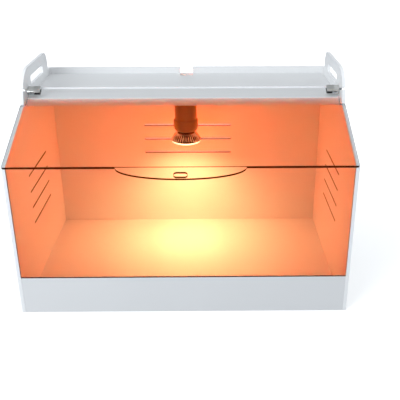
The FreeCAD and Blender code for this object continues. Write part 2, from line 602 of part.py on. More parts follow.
left_hinge_pin = make_pin("left_hinge_pin", "-")
right_hinge_pin = make_pin("right_hinge_pin", "")


def make_pad(label, side):
    """A thin pad between a clip's floor and the lid."""
    near = "(%s - clip_end_block)" % CLIP_OUTER
    left, right = (side + near, side + CLIP_INNER) if side else (CLIP_INNER, near)
    body = make_board(label, "XY_Plane", CLIP_FLOOR, (
        (left, "-clip_length / 2 + pad_margin"), (right, "-clip_length / 2 + pad_margin"),
        (right, "clip_length / 2 - pad_margin"), (left, "clip_length / 2 - pad_margin")), "pad_thickness")
    place(body, "0", PIVOT_Y, PIVOT_Z, SLOPE)
    return body


left_clip_pad = make_pad("left_clip_pad", "-")
right_clip_pad = make_pad("right_clip_pad", "")


def grub_screw(diameter, length, socket_width, socket_depth):
    """A headless screw along +Z from its socket end at the origin."""
    body = Part.makeCylinder(diameter / 2, length)
    reach = socket_width / math.sqrt(3)
    corners = [FreeCAD.Vector(reach * math.cos(math.radians(60 * i)), reach * math.sin(math.radians(60 * i)), 0)
               for i in range(7)]
    socket = Part.Face(Part.makePolygon(corners)).extrude(FreeCAD.Vector(0, 0, socket_depth))
    return body.cut(socket)


def make_group(label, solids, place_by):
    """Several separate solids of one kind, as one node."""
    group = doc.addObject("Part::Feature", label)
    group.Label = label
    group.Shape = Part.makeCompound(solids)
    place(group, *place_by)
    return group


def turned(shape, axis, angle, x, y, z):
    """A copy of a shape, turned and then moved."""
    copy = shape.copy()
    copy.Placement = FreeCAD.Placement(FreeCAD.Vector(x, y, z), FreeCAD.Rotation(axis, angle))
    return copy


def make_clip_screws():
    lock_start = value_of("-clip_length / 2 + lock_screw_recess")
    lock_length = value_of("-pin_diameter / 2") - lock_start
    lock = grub_screw(value_of("lock_screw_diameter"), lock_length, value_of("lock_socket_width"),
                      value_of("socket_depth"))
    lock_x = value_of("%s - lock_screw_inset" % CLIP_OUTER)
    locks = [turned(lock, X_AXIS, -90, side * lock_x, lock_start, 0) for side in (-1, 1)]

    clamp_start = value_of("-clip_thickness / 2")
    clamp_length = value_of(CLIP_FLOOR) - clamp_start
    clamp = grub_screw(value_of("clamp_screw_diameter"), clamp_length, value_of("clamp_socket_width"),
                       value_of("socket_depth"))
    clamp_x = value_of(CLAMP_X)
    clamps = [turned(clamp, X_AXIS, 0, side * clamp_x, 0, clamp_start) for side in (-1, 1)]
    frame = ("0", PIVOT_Y, PIVOT_Z, SLOPE)
    return make_group("pin_lock_screws", locks, frame), make_group("lid_clamp_screws", clamps, frame)


pin_lock_screws, lid_clamp_screws = make_clip_screws()


# Lamp holder, hung from the roof; its pieces' own heights run down from the roof's underside
LAMP_PLACE = ("0", LAMP_Y, ROOF_UNDERSIDE)


def make_turned(label, corners):
    """A piece turned about the lamp's axis from an outline of radius and height."""
    body = new_body(label)
    sketch = new_sketch(body, "profile", "XZ_Plane")
    draw_outline(sketch, corners)
    add_revolution(body, sketch)
    place(body, *LAMP_PLACE)
    return body


lamp_holder_housing = make_turned("lamp_holder_housing", (
    ("0", "0"), ("holder_diameter / 2", "0"), ("holder_diameter / 2", "-holder_height"),
    (HOUSING_BORE, "-holder_height"), (HOUSING_BORE, "-holder_top"), ("0", "-holder_top")))
drill(lamp_holder_housing, "cable_hole", "XZ_Plane", "0", (("0", "-cable_hole_drop"),),
      "cable_hole_diameter", "holder_diameter", False)
drill(lamp_holder_housing, "screw_holes", "XY_Plane", "0",
      tuple(("0", y) for y in HOLDER_SCREW_PLACES), HOLDER_SCREW_HOLE, "holder_top", False)

lamp_holder_skirt = make_turned("lamp_holder_skirt", (
    (SLEEVE_BORE, SLEEVE_TOP), (HOUSING_BORE + " - sleeve_clearance", SLEEVE_TOP),
    (HOUSING_BORE + " - sleeve_clearance", "-holder_height"), ("skirt_diameter / 2", "-holder_height"),
    ("skirt_diameter / 2", SKIRT_BOTTOM), (SKIRT_MOUTH, SKIRT_BOTTOM),
    (SKIRT_MOUTH, "-holder_height - skirt_web"), (SLEEVE_BORE, "-holder_height - skirt_web")))

lamp_holder_insert = make_turned("lamp_holder_insert", (
    ("rivet_diameter / 2", "-insert_drop"), (HOUSING_BORE + " - insert_clearance", "-insert_drop"),
    (HOUSING_BORE + " - insert_clearance", SLEEVE_TOP), (SHELL_SEAT, SLEEVE_TOP),
    (SHELL_SEAT, INSERT_CEILING), ("rivet_diameter / 2", INSERT_CEILING)))

lamp_screw_shell = make_turned("lamp_screw_shell", (
    (SHELL_BORE, INSERT_CEILING), (SHELL_BORE + " + shell_wall", INSERT_CEILING),
    (SHELL_BORE + " + shell_wall", INSERT_CEILING + " - shell_height"),
    (SHELL_BORE, INSERT_CEILING + " - shell_height")))


def make_centre_contact():
    """The centre contact: a rivet through the insert's top and a tongue that springs down."""
    body = new_body("lamp_centre_contact")
    tongue = new_sketch(body, "tongue", "YZ_Plane", "-contact_width / 2")
    under = "(%s - contact_thickness)" % INSERT_CEILING
    draw_outline(tongue, (
        ("-contact_length / 2", INSERT_CEILING), ("contact_length / 2", INSERT_CEILING),
        ("contact_length / 2", under), ("rivet_diameter / 2", under),
        ("rivet_diameter / 2 - contact_thickness", TONGUE_LOW), ("-contact_length / 2", TONGUE_LOW),
        ("-contact_length / 2", TONGUE_LOW + " + contact_thickness"),
        ("0", TONGUE_LOW + " + contact_thickness"), ("0", under), ("-contact_length / 2", under)))
    add_pad(body, tongue, "contact_width")
    rivet = new_sketch(body, "rivet", "XY_Plane", INSERT_CEILING)
    draw_circle(rivet, "0", "0", "rivet_diameter - 2 * rivet_clearance")
    add_pad(body, rivet, "insert_top")
    place(body, *LAMP_PLACE)
    return body


lamp_centre_contact = make_centre_contact()


def make_terminals():
    """Two cable terminals on the insert, each with its screw."""
    length, width, height = (value_of("terminal_" + word) for word in ("length", "width", "height"))
    spacing = value_of("terminal_spacing")
    low = value_of("-insert_drop")
    radius = value_of("terminal_screw_diameter") / 2
    hole_radius = radius + value_of("screw_thread_clearance")
    blocks = []
    screws = []
    for side in (-1, 1):
        middle = side * spacing / 2
        corner = FreeCAD.Vector(middle - width / 2, -length / 2, low)
        top = FreeCAD.Vector(middle, -length / 4, low + 0.5 * height)
        hole = Part.makeCylinder(hole_radius, height / 2, top)
        blocks.append(Part.makeBox(width, length, height, corner).cut(hole))
        screws.append(Part.makeCylinder(radius, 0.4 * height, top + FreeCAD.Vector(0, 0, 0.1 * height)))
    return (make_group("lamp_cable_terminals", blocks, LAMP_PLACE),
            make_group("lamp_terminal_screws", screws, LAMP_PLACE))


lamp_cable_terminals, lamp_terminal_screws = make_terminals()


def make_holder_screws():
    """Two pan-headed screws up through the housing's top into the roof."""
    shank = value_of("holder_screw_diameter") / 2
    head = value_of("holder_screw_head") / 2
    head_height = value_of("holder_screw_head_height")
    top = value_of("holder_top")
    bite = value_of("holder_screw_bite")
    screws = []
    for side in (-1, 1):
        y = side * value_of("holder_screw_spacing") / 2
        stem = Part.makeCylinder(shank, top + bite, FreeCAD.Vector(0, y, -top))
        crown = Part.makeCylinder(head, head_height, FreeCAD.Vector(0, y, -top - head_height))
        screws.append(stem.fuse(crown))
    return make_group("lamp_holder_screws", screws, LAMP_PLACE)


lamp_holder_screws = make_holder_screws()

# Bulb: a reflector bulb with a screw cap
bulb_glass = make_turned("bulb_glass", (
    ("0", BULB_CAP_BOTTOM), ("bulb_neck_diameter / 2", BULB_CAP_BOTTOM),
    ("bulb_neck_diameter / 2", BULB_FLARE_TOP), ("bulb_diameter / 2", BULB_RIM),
    ("bulb_face_diameter / 2", BULB_FACE), ("0", BULB_FACE)))

bulb_screw_cap = make_turned("bulb_screw_cap", (
    ("0", BULB_CAP_TOP), ("bulb_cap_diameter / 2", BULB_CAP_TOP),
    ("bulb_cap_diameter / 2", BULB_CAP_BOTTOM), ("0", BULB_CAP_BOTTOM)))

bulb_insulator = make_turned("bulb_insulator", (
    ("0", BULB_CAP_TOP), ("insulator_diameter / 2", BULB_CAP_TOP),
    ("insulator_diameter / 2", BULB_TIP + " - tip_height"), ("0", BULB_TIP + " - tip_height")))

bulb_tip_contact = make_turned("bulb_tip_contact", (
    ("0", BULB_TIP + " - tip_height"), ("tip_diameter / 2", BULB_TIP + " - tip_height"),
    ("tip_diameter / 2", BULB_TIP), ("0", BULB_TIP)))

PIECES = (
    left_side_wall, right_side_wall, floor_panel, front_board, front_window, back_wall, roof_panel,
    roof_front_strip, lid, left_hinge_clip, right_hinge_clip, left_hinge_pin, right_hinge_pin,
    left_clip_pad, right_clip_pad, pin_lock_screws, lid_clamp_screws, lamp_holder_housing,
    lamp_holder_skirt, lamp_holder_insert, lamp_screw_shell, lamp_centre_contact,
    lamp_cable_terminals, lamp_terminal_screws, lamp_holder_screws, bulb_glass, bulb_screw_cap,
    bulb_insulator, bulb_tip_contact)

doc.recompute()
for thing in doc.Objects:
    if "Invalid" in thing.State or "Error" in thing.State:
        raise RuntimeError(thing.Label + " failed: " + ", ".join(thing.State))
for piece in PIECES:
    if piece.Shape.isNull() or not piece.Shape.isValid() or not piece.Shape.Solids:
        raise RuntimeError(piece.Label + " has no valid solid")

os.makedirs("parts", exist_ok=True)
for piece in PIECES:
    piece.Shape.exportStep(os.path.join("parts", piece.Label + ".step"))
    box = piece.Shape.BoundBox
    print("%-22s solids %d  volume %.1f  x %.1f..%.1f  y %.1f..%.1f  z %.1f..%.1f" % (
        piece.Label, len(piece.Shape.Solids), piece.Shape.Volume,
        box.XMin, box.XMax, box.YMin, box.YMax, box.ZMin, box.ZMax))
print("hinge line y %.3f z %.3f, lid slope %.3f degrees" % (value_of(PIVOT_Y), value_of(PIVOT_Z), value_of(SLOPE)))
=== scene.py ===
"""Chick brooder box: the looks of its boards, clear sheets, hinge clips, lamp holder and heat bulb."""
import math
from collections import namedtuple

import bmesh
import bpy
from mathutils import Matrix, Vector


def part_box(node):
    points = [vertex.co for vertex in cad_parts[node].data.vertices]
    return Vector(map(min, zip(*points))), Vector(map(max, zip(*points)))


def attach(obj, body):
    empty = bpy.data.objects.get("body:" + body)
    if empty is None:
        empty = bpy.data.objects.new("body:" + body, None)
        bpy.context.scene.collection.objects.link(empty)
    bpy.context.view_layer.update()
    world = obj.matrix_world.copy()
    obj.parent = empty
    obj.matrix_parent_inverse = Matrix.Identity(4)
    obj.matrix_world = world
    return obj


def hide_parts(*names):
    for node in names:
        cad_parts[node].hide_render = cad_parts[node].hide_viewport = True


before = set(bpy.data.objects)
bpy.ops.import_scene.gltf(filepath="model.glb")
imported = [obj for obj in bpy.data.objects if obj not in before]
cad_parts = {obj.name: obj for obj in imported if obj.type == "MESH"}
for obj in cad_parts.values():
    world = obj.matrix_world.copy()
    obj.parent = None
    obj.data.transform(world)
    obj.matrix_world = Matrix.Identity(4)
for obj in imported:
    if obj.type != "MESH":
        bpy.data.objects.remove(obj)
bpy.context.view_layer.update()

bl_info = {
    "name": "Chick brooder box",
    "version": (1, 0, 0),
    "blender": (4, 5, 0),
    "location": "3D View > Sidebar > Brooder",
    "description": "Dresses a white board brooder with a clear hinged lid and a heat lamp",
    "category": "Object",
}

MM = 0.001


class BrooderSizes(bpy.types.PropertyGroup):
    """Sizes of the details that the box's solids leave out."""
    clip_edge: bpy.props.FloatProperty(
        name="Clip edge", description="Rounding along a hinge clip's edges",
        default=0.35 * MM, min=0.0, unit="LENGTH", precision=5)
    thread_pitch: bpy.props.FloatProperty(
        name="Thread pitch", description="Rise of the lamp thread in one turn",
        default=3.62 * MM, min=0.5 * MM, unit="LENGTH", precision=5)
    thread_depth: bpy.props.FloatProperty(
        name="Thread depth", description="Depth of the bulb cap's rolled thread",
        default=0.8 * MM, min=0.0, unit="LENGTH", precision=5)
    flute_count: bpy.props.IntProperty(
        name="Flutes", description="Upright flutes around the mirrored reflector", default=36, min=8, max=90)
    flute_depth: bpy.props.FloatProperty(
        name="Flute depth", description="Depth of a flute in the reflector",
        default=1.1 * MM, min=0.0, unit="LENGTH", precision=5)


class BrooderColours(bpy.types.PropertyGroup):
    """Colours of the box's finishes."""
    board: bpy.props.FloatVectorProperty(
        name="Board", description="White foamed board", subtype="COLOR", size=4, min=0.0, max=1.0,
        default=(0.80, 0.805, 0.81, 1.0))
    board_edge: bpy.props.FloatVectorProperty(
        name="Board edge", description="Sawn edge of the board", subtype="COLOR", size=4, min=0.0, max=1.0,
        default=(0.95, 0.955, 0.96, 1.0))
    # Painted shade: the colour given to the walls of the thin vents and the rims around them, where shade
    # falls in the slots.
    vent_shade: bpy.props.FloatVectorProperty(
        name="Vent", description="Dusty walls of the thin vents", subtype="COLOR", size=4, min=0.0, max=1.0,
        default=(0.075, 0.052, 0.005, 1.0))
    # Painted light: the sheets' one kind of cut edge is given a dark tone in front as painted shade, a pale
    # tone at the sides and a bright tone at the rear.
    sheet_edge: bpy.props.FloatVectorProperty(
        name="Sheet edge", description="Dark cut edge of the clear sheets", subtype="COLOR", size=4,
        min=0.0, max=1.0, default=(0.035, 0.012, 0.008, 1.0))
    sheet_rear_edge: bpy.props.FloatVectorProperty(
        name="Sheet rear edge", description="Bright cut edge at the lid's hinge side", subtype="COLOR",
        size=4, min=0.0, max=1.0, default=(0.80, 0.82, 0.84, 1.0))
    sheet_side_edge: bpy.props.FloatVectorProperty(
        name="Sheet side edge", description="Pale cut edge along the lid's sides", subtype="COLOR", size=4,
        min=0.0, max=1.0, default=(0.50, 0.54, 0.56, 1.0))
    clip: bpy.props.FloatVectorProperty(
        name="Clip", description="Bright plating of the hinge clips", subtype="COLOR", size=4,
        min=0.0, max=1.0, default=(0.62, 0.62, 0.60, 1.0))
    holder: bpy.props.FloatVectorProperty(
        name="Lamp holder", description="Brown moulded plastic of the lamp holder", subtype="COLOR", size=4,
        min=0.0, max=1.0, default=(0.30, 0.115, 0.006, 1.0))
    # Painted sheen: the holder's plastic is made lighter towards its outline.
    holder_flank: bpy.props.FloatVectorProperty(
        name="Lamp holder flank", description="The same plastic towards its outline", subtype="COLOR",
        size=4, min=0.0, max=1.0, default=(0.60, 0.24, 0.012, 1.0))
    # Painted reflection: the reflector goes from this dark colour where seen square on to the bright flank
    # colour towards its outline.
    mirror: bpy.props.FloatVectorProperty(
        name="Reflector", description="Mirrored glass of the bulb, seen square on", subtype="COLOR", size=4,
        min=0.0, max=1.0, default=(0.16, 0.11, 0.09, 1.0))
    mirror_flank: bpy.props.FloatVectorProperty(
        name="Reflector flank", description="Mirrored glass of the bulb towards its outline",
        subtype="COLOR", size=4, min=0.0, max=1.0, default=(0.74, 0.58, 0.44, 1.0))
    glow: bpy.props.FloatVectorProperty(
        name="Glow", description="Light of the bulb's face", subtype="COLOR", size=4, min=0.0, max=1.0,
        default=(1.0, 0.80, 0.48, 1.0))


class BrooderStage(bpy.types.PropertyGroup):
    """The camera, the studio light and the bulb's own light."""
    camera_place: bpy.props.FloatVectorProperty(
        name="Camera", description="Place of the camera", subtype="TRANSLATION", unit="LENGTH", size=3,
        default=(0.0464, -1.2268, 0.6736))
    camera_turn: bpy.props.FloatVectorProperty(
        name="Camera turn", description="Turn of the camera", subtype="EULER", unit="ROTATION", size=3,
        default=(math.radians(64.604), math.radians(0.141), math.radians(-0.475)))
    camera_lens: bpy.props.FloatProperty(
        name="Lens", description="Focal length for a 36 mm sensor", unit="CAMERA", default=59.08, min=10.0)
    camera_shift: bpy.props.FloatVectorProperty(
        name="Shift", description="Shift of the picture's middle", size=2, default=(-0.0328, 0.0524))
    sky_light: bpy.props.FloatProperty(
        name="Sky light", description="Strength of the soft light from all sides", default=0.82, min=0.0)
    key_light: bpy.props.FloatProperty(
        name="Key light", description="Power of the large soft light at the front left", unit="POWER",
        default=38.0, min=0.0)
    rear_light: bpy.props.FloatProperty(
        name="Rear light", description="Power of the large soft light at the back right", unit="POWER",
        default=14.0, min=0.0)
    light_tint: bpy.props.FloatVectorProperty(
        name="Light tint", description="Colour of the studio light", subtype="COLOR", size=3,
        min=0.0, max=1.0, default=(0.925, 0.965, 1.0))
    lamp_spot: bpy.props.FloatProperty(
        name="Lamp spot", description="Power of the bulb's light on the floor", unit="POWER",
        default=3.35, min=0.0)
    lamp_fill: bpy.props.FloatProperty(
        name="Lamp fill", description="Power of the bulb's orange light on the walls", unit="POWER",
        default=2.05, min=0.0)
    fill_colour: bpy.props.FloatVectorProperty(
        name="Fill colour", description="Colour of the bulb's light on the walls", subtype="COLOR", size=3,
        min=0.0, max=1.0, default=(1.0, 0.055, 0.0))
    spot_colour: bpy.props.FloatVectorProperty(
        name="Spot colour", description="Colour of the bulb's light on the floor", subtype="COLOR", size=3,
        min=0.0, max=1.0, default=(1.0, 0.70, 0.28))


# Shader helpers. A value that one node hands to another is a (node, output) pair.

# Places of the colour sockets of a Mix node, where sockets of other kinds have the same names.
MIX_FACTOR = 0
MIX_FIRST = 6
MIX_SECOND = 7
MIX_RESULT = 2

# A face is a cut edge if the cosine between its normal and the sheet's is below this.
EDGE_COSINE = 0.75

BLACK = (0.0, 0.0, 0.0, 1.0)
WHITE = (1.0, 1.0, 1.0, 1.0)

Finish = namedtuple("Finish", "material tree shader places")


def feed(tree, source, socket):
    """Links a (node, output) pair to a socket, or sets the socket's own value."""
    if isinstance(source, tuple) and isinstance(source[0], bpy.types.Node):
        node, output = source
        tree.links.new(node.outputs[output], socket)
    else:
        socket.default_value = source


def add_node(tree, kind, **values):
    """A shader node with its properties set; keys that name an input set that socket instead."""
    node = tree.nodes.new(kind)
    for key, value in values.items():
        if hasattr(node, key):
            setattr(node, key, value)
        else:
            node.inputs[key.replace("_", " ")].default_value = value
    return node


def maths(tree, operation, first, second=None, clamp=False):
    """The result of a Math node on pairs or plain numbers."""
    node = add_node(tree, "ShaderNodeMath", operation=operation, use_clamp=clamp)
    feed(tree, first, node.inputs[0])
    if second is not None:
        feed(tree, second, node.inputs[1])
    return node, 0


def step_between(tree, value, low, high):
    """A smooth 0 to 1 as a value goes from low to high."""
    node = add_node(tree, "ShaderNodeMapRange", interpolation_type="SMOOTHSTEP", From_Min=low, From_Max=high)
    feed(tree, value, node.inputs["Value"])
    return node, 0


def blend_colours(tree, factor, first, second):
    """Mixes two colours, each a pair or a constant, by a factor."""
    node = add_node(tree, "ShaderNodeMix", data_type="RGBA")
    feed(tree, factor, node.inputs[MIX_FACTOR])
    feed(tree, first, node.inputs[MIX_FIRST])
    feed(tree, second, node.inputs[MIX_SECOND])
    return node, MIX_RESULT


def new_group(name, inputs, outputs):
    """An empty shader node group with named sockets."""
    group = bpy.data.node_groups.new(name, "ShaderNodeTree")
    for label, kind, value in inputs:
        socket = group.interface.new_socket(label, in_out="INPUT", socket_type=kind)
        if value is not None:
            socket.default_value = value
    for label, kind in outputs:
        group.interface.new_socket(label, in_out="OUTPUT", socket_type=kind)
    return group, group.nodes.new("NodeGroupInput"), group.nodes.new("NodeGroupOutput")


def moulded_surface():
    """Colour mottling, uneven gloss and fine relief of a moulded, rolled or cast surface."""
    group, start, end = new_group("moulded_surface", (
        ("Vector", "NodeSocketVector", None), ("Color", "NodeSocketColor", (0.8, 0.8, 0.8, 1.0)),
        ("Mottle", "NodeSocketFloat", 0.05), ("Patch Scale", "NodeSocketFloat", 12.0),
        ("Grain Scale", "NodeSocketFloat", 900.0), ("Roughness", "NodeSocketFloat", 0.4),
        ("Gloss Change", "NodeSocketFloat", 0.1)), (
        ("Color", "NodeSocketColor"), ("Roughness", "NodeSocketFloat"), ("Height", "NodeSocketFloat")))
    patches = add_node(group, "ShaderNodeTexNoise", Detail=3.0)
    grain = add_node(group, "ShaderNodeTexNoise", Detail=2.0)
    for noise, scale in ((patches, "Patch Scale"), (grain, "Grain Scale")):
        feed(group, (start, "Vector"), noise.inputs["Vector"])
        feed(group, (start, scale), noise.inputs["Scale"])
    patchy = maths(group, "SUBTRACT", (patches, "Fac"), 0.5)
    grainy = maths(group, "SUBTRACT", (grain, "Fac"), 0.5)
    mottling = maths(group, "MULTIPLY", maths(group, "ADD", patchy, grainy), (start, "Mottle"))
    tinted = add_node(group, "ShaderNodeVectorMath", operation="SCALE")
    feed(group, (start, "Color"), tinted.inputs[0])
    feed(group, maths(group, "ADD", mottling, 1.0), tinted.inputs["Scale"])
    feed(group, (tinted, 0), end.inputs["Color"])
    gloss_patches = maths(group, "MULTIPLY", patchy, (start, "Gloss Change"))
    gloss = maths(group, "ADD", (start, "Roughness"), gloss_patches, clamp=True)
    feed(group, gloss, end.inputs["Roughness"])
    feed(group, (grain, "Fac"), end.inputs["Height"])
    return group


def cut_edge():
    """A mask of the faces that stand square to a sheet's plane, such as its sawn edges and slots."""
    group, start, end = new_group("cut_edge", (
        ("Normal", "NodeSocketVector", None), ("Sheet Normal", "NodeSocketVector", None)), (
        ("Mask", "NodeSocketFloat"),))
    cosine = add_node(group, "ShaderNodeVectorMath", operation="DOT_PRODUCT")
    feed(group, (start, "Normal"), cosine.inputs[0])
    feed(group, (start, "Sheet Normal"), cosine.inputs[1])
    mask = maths(group, "LESS_THAN", maths(group, "ABSOLUTE", (cosine, "Value")), EDGE_COSINE)
    feed(group, mask, end.inputs["Mask"])
    return group


def vent_row():
    """A mask around a row of parallel thin vents, from the distances along and across them."""
    group, start, end = new_group("vent_row", (
        ("Along", "NodeSocketFloat", 0.0), ("Across", "NodeSocketFloat", 0.0),
        ("Middle", "NodeSocketFloat", 0.0), ("Half Length", "NodeSocketFloat", 0.1),
        ("Lowest", "NodeSocketFloat", 0.1), ("Pitch", "NodeSocketFloat", 0.03),
        ("Highest", "NodeSocketFloat", 0.2), ("Reach", "NodeSocketFloat", 0.002)), (
        ("Mask", "NodeSocketFloat"),))
    from_middle = maths(group, "ABSOLUTE", maths(group, "SUBTRACT", (start, "Along"), (start, "Middle")))
    past_end = maths(group, "MAXIMUM", maths(group, "SUBTRACT", from_middle, (start, "Half Length")), 0.0)
    above_lowest = maths(group, "SUBTRACT", (start, "Across"), (start, "Lowest"))
    row = maths(group, "ROUND", maths(group, "DIVIDE", above_lowest, (start, "Pitch")))
    nearest = maths(group, "ADD", maths(group, "MULTIPLY", row, (start, "Pitch")), (start, "Lowest"))
    nearest = maths(group, "MAXIMUM", nearest, (start, "Lowest"))
    nearest = maths(group, "MINIMUM", nearest, (start, "Highest"))
    away = maths(group, "SUBTRACT", (start, "Across"), nearest)
    away_squared = maths(group, "MULTIPLY", away, away)
    past_squared = maths(group, "MULTIPLY", past_end, past_end)
    distance = maths(group, "SQRT", maths(group, "ADD", away_squared, past_squared))
    share = maths(group, "DIVIDE", distance, (start, "Reach"))
    feed(group, maths(group, "SUBTRACT", 1.0, share, clamp=True), end.inputs["Mask"])
    return group


def group_node(tree, maker, **values):
    """A node of a shared group, which is built the first time it is used."""
    node = tree.nodes.new("ShaderNodeGroup")
    node.node_tree = bpy.data.node_groups.get(maker.__name__) or maker()
    for key, value in values.items():
        node.inputs[key.replace("_", " ")].default_value = value
    return node


def new_finish(name, roughness, metallic=0.0, specular=None):
    """A new material with its Principled shader and its coordinates."""
    material = bpy.data.materials.new(name)
    material.use_nodes = True
    tree = material.node_tree
    shader = next(node for node in tree.nodes if node.type == "BSDF_PRINCIPLED")
    shader.inputs["Roughness"].default_value = roughness
    shader.inputs["Metallic"].default_value = metallic
    if specular is not None:
        shader.inputs["Specular IOR Level"].default_value = specular
    return Finish(material, tree, shader, tree.nodes.new("ShaderNodeTexCoord"))


def surfaced(finish, colour, mottle=0.05, gloss_change=0.08, patch_scale=12.0, grain_scale=900.0,
             relief=0.05, relief_depth=0.2 * MM):
    """Runs a finish's colour and gloss through the moulded surface group and gives it its relief."""
    tree, shader = finish.tree, finish.shader
    surface = group_node(tree, moulded_surface, Mottle=mottle, Patch_Scale=patch_scale,
                         Grain_Scale=grain_scale, Gloss_Change=gloss_change,
                         Roughness=shader.inputs["Roughness"].default_value)
    feed(tree, (finish.places, "Object"), surface.inputs["Vector"])
    feed(tree, colour, surface.inputs["Color"])
    feed(tree, (surface, "Color"), shader.inputs["Base Color"])
    feed(tree, (surface, "Roughness"), shader.inputs["Roughness"])
    bump = add_node(tree, "ShaderNodeBump", Strength=relief, Distance=relief_depth)
    feed(tree, (surface, "Height"), bump.inputs["Height"])
    feed(tree, (bump, "Normal"), shader.inputs["Normal"])


def plain_material(name, colour, roughness, metallic=0.0, **surface):
    """A material of one colour with the moulded surface's unevenness."""
    finish = new_finish(name, roughness, metallic)
    surfaced(finish, colour, **surface)
    return finish.material


def metal_material(name, colour, roughness, metallic=1.0):
    """Plain, plated or blackened metal of the small fittings."""
    return plain_material(name, colour, roughness, metallic, mottle=0.06, gloss_change=0.15,
                          patch_scale=60.0, grain_scale=2600.0, relief=0.05, relief_depth=0.05 * MM)


def flank_colour(tree, middle, flank, start, end):
    """A colour that brightens towards the outline of a round piece: painted sheen or reflection, standing in
    for light along its sides.
    """
    facing = add_node(tree, "ShaderNodeLayerWeight", Blend=0.5)
    return blend_colours(tree, step_between(tree, (facing, "Facing"), start, end), middle, flank)


def edge_mask(finish, normal):
    """A mask of a sheet's cut edges, from the direction that its faces look in."""
    edge = group_node(finish.tree, cut_edge, Sheet_Normal=normal)
    feed(finish.tree, (finish.places, "Normal"), edge.inputs["Normal"])
    return edge, "Mask"


def place_axes(finish):
    """A node that gives the X, Y and Z of the place on the piece."""
    axes = add_node(finish.tree, "ShaderNodeSeparateXYZ")
    feed(finish.tree, (finish.places, "Object"), axes.inputs["Vector"])
    return axes


def dress(node_name, material):
    """Gives a carried-over CAD node its material."""
    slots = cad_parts[node_name].data.materials
    slots.clear()
    slots.append(material)


# Mesh helpers

FLAT_ANGLE = math.radians(1.0)
SMOOTH_ANGLE = math.radians(35.0)
MERGE_DISTANCE = 0.002 * MM
CUT_TOLERANCE = 0.0005 * MM
RIM_TOLERANCE = 0.01 * MM

# Points of a thread's wave in one pitch, and steps around in one turn of a thread or a turned shape.
WAVE_POINTS = 6
THREAD_STEPS = 48
SPIN_STEPS = 96


def bmesh_of(node_name):
    """A merged copy of a CAD node's mesh with its flat faces whole again."""
    bm = bmesh.new()
    bm.from_mesh(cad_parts[node_name].data)
    bmesh.ops.remove_doubles(bm, verts=bm.verts, dist=MERGE_DISTANCE)
    bmesh.ops.dissolve_limit(bm, angle_limit=FLAT_ANGLE, verts=bm.verts, edges=bm.edges)
    return bm


def spun(outline, centre, steps=SPIN_STEPS, ring=False):
    """A turned shape about an upright axis, from (radius, height) points in millimetres."""
    bm = bmesh.new()
    points = [bm.verts.new((radius * MM, 0.0, height * MM)) for radius, height in outline]
    edges = [bm.edges.new(pair) for pair in zip(points, points[1:])]
    if ring:
        edges.append(bm.edges.new((points[-1], points[0])))
    bmesh.ops.spin(bm, geom=points + edges, cent=(0, 0, 0), axis=(0, 0, 1), dvec=(0, 0, 0),
                   angle=2 * math.pi, steps=steps, use_merge=True)
    bmesh.ops.remove_doubles(bm, verts=bm.verts, dist=MERGE_DISTANCE)
    bmesh.ops.translate(bm, verts=bm.verts, vec=centre)
    return bm


def arc(radius, height, size, start, end, count):
    """Points of a rounding in an outline, from one angle to another in degrees."""
    angles = [math.radians(start + (end - start) * i / count) for i in range(count + 1)]
    return [(radius + size * math.cos(angle), height + size * math.sin(angle)) for angle in angles]


def threaded(radius, low, high, pitch, depth, centre):
    """A rolled helical thread between two heights, cut square at both ends, as an open tube."""
    bm = bmesh.new()
    turns = int((high - low) / pitch) + 3
    start = low - 2 * pitch
    points = []
    for i in range(turns * WAVE_POINTS + 1):
        dip = depth * (0.5 - 0.5 * math.cos(2 * math.pi * i / WAVE_POINTS))
        points.append(bm.verts.new((radius - dip, 0.0, start + pitch * i / WAVE_POINTS)))
    edges = [bm.edges.new(pair) for pair in zip(points, points[1:])]
    bmesh.ops.spin(bm, geom=points + edges, cent=(0, 0, 0), axis=(0, 0, 1),
                   dvec=(0, 0, pitch / THREAD_STEPS), angle=2 * math.pi, steps=THREAD_STEPS,
                   use_merge=False)
    bmesh.ops.remove_doubles(bm, verts=bm.verts, dist=MERGE_DISTANCE)
    for height, keep_above in ((low, True), (high, False)):
        everything = bm.verts[:] + bm.edges[:] + bm.faces[:]
        bmesh.ops.bisect_plane(bm, geom=everything, dist=CUT_TOLERANCE, plane_co=(0, 0, height),
                               plane_no=(0, 0, 1), clear_inner=keep_above, clear_outer=not keep_above)
    bmesh.ops.translate(bm, verts=bm.verts, vec=centre)
    return bm


def rim_edges(bm, height):
    """The border edges of an open tube at one height."""
    return [edge for edge in bm.edges if edge.is_boundary
            and all(abs(vert.co.z - height) < RIM_TOLERANCE for vert in edge.verts)]


def close_rim(bm, height):
    """Closes an open tube with one flat face at one height."""
    bmesh.ops.contextual_create(bm, geom=rim_edges(bm, height))


def pull_rim(bm, height, new_height, centre, scale=1.0):
    """Extends an open tube from one of its rims to another height, wider or narrower."""
    grown = bmesh.ops.extrude_edge_only(bm, edges=rim_edges(bm, height))
    verts = [item for item in grown["geom"] if isinstance(item, bmesh.types.BMVert)]
    about = Matrix.Translation(-centre)
    bmesh.ops.scale(bm, vec=(scale, scale, 1.0), space=about, verts=verts)
    bmesh.ops.translate(bm, verts=verts, vec=(0, 0, new_height - height))


def make_piece(name, bm, body, material, replaced=()):
    """Turns a finished bmesh into a piece that rides on a body."""
    bmesh.ops.recalc_face_normals(bm, faces=bm.faces)
    mesh = bpy.data.meshes.new(name)
    bm.to_mesh(mesh)
    bm.free()
    mesh.shade_smooth()
    mesh.set_sharp_from_angle(angle=SMOOTH_ANGLE)
    mesh.materials.append(material)
    piece = bpy.data.objects.new(name, mesh)
    bpy.context.scene.collection.objects.link(piece)
    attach(piece, body)
    if replaced:
        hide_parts(*replaced)


# Boards

# The direction that each board's faces look in.
BOARD_NORMALS = {
    "left_side_wall": (1, 0, 0),
    "right_side_wall": (1, 0, 0),
    "back_wall": (0, 1, 0),
    "front_board": (0, 1, 0),
    "roof_front_strip": (0, 1, 0),
    "floor_panel": (0, 0, 1),
    "roof_panel": (0, 0, 1),
}

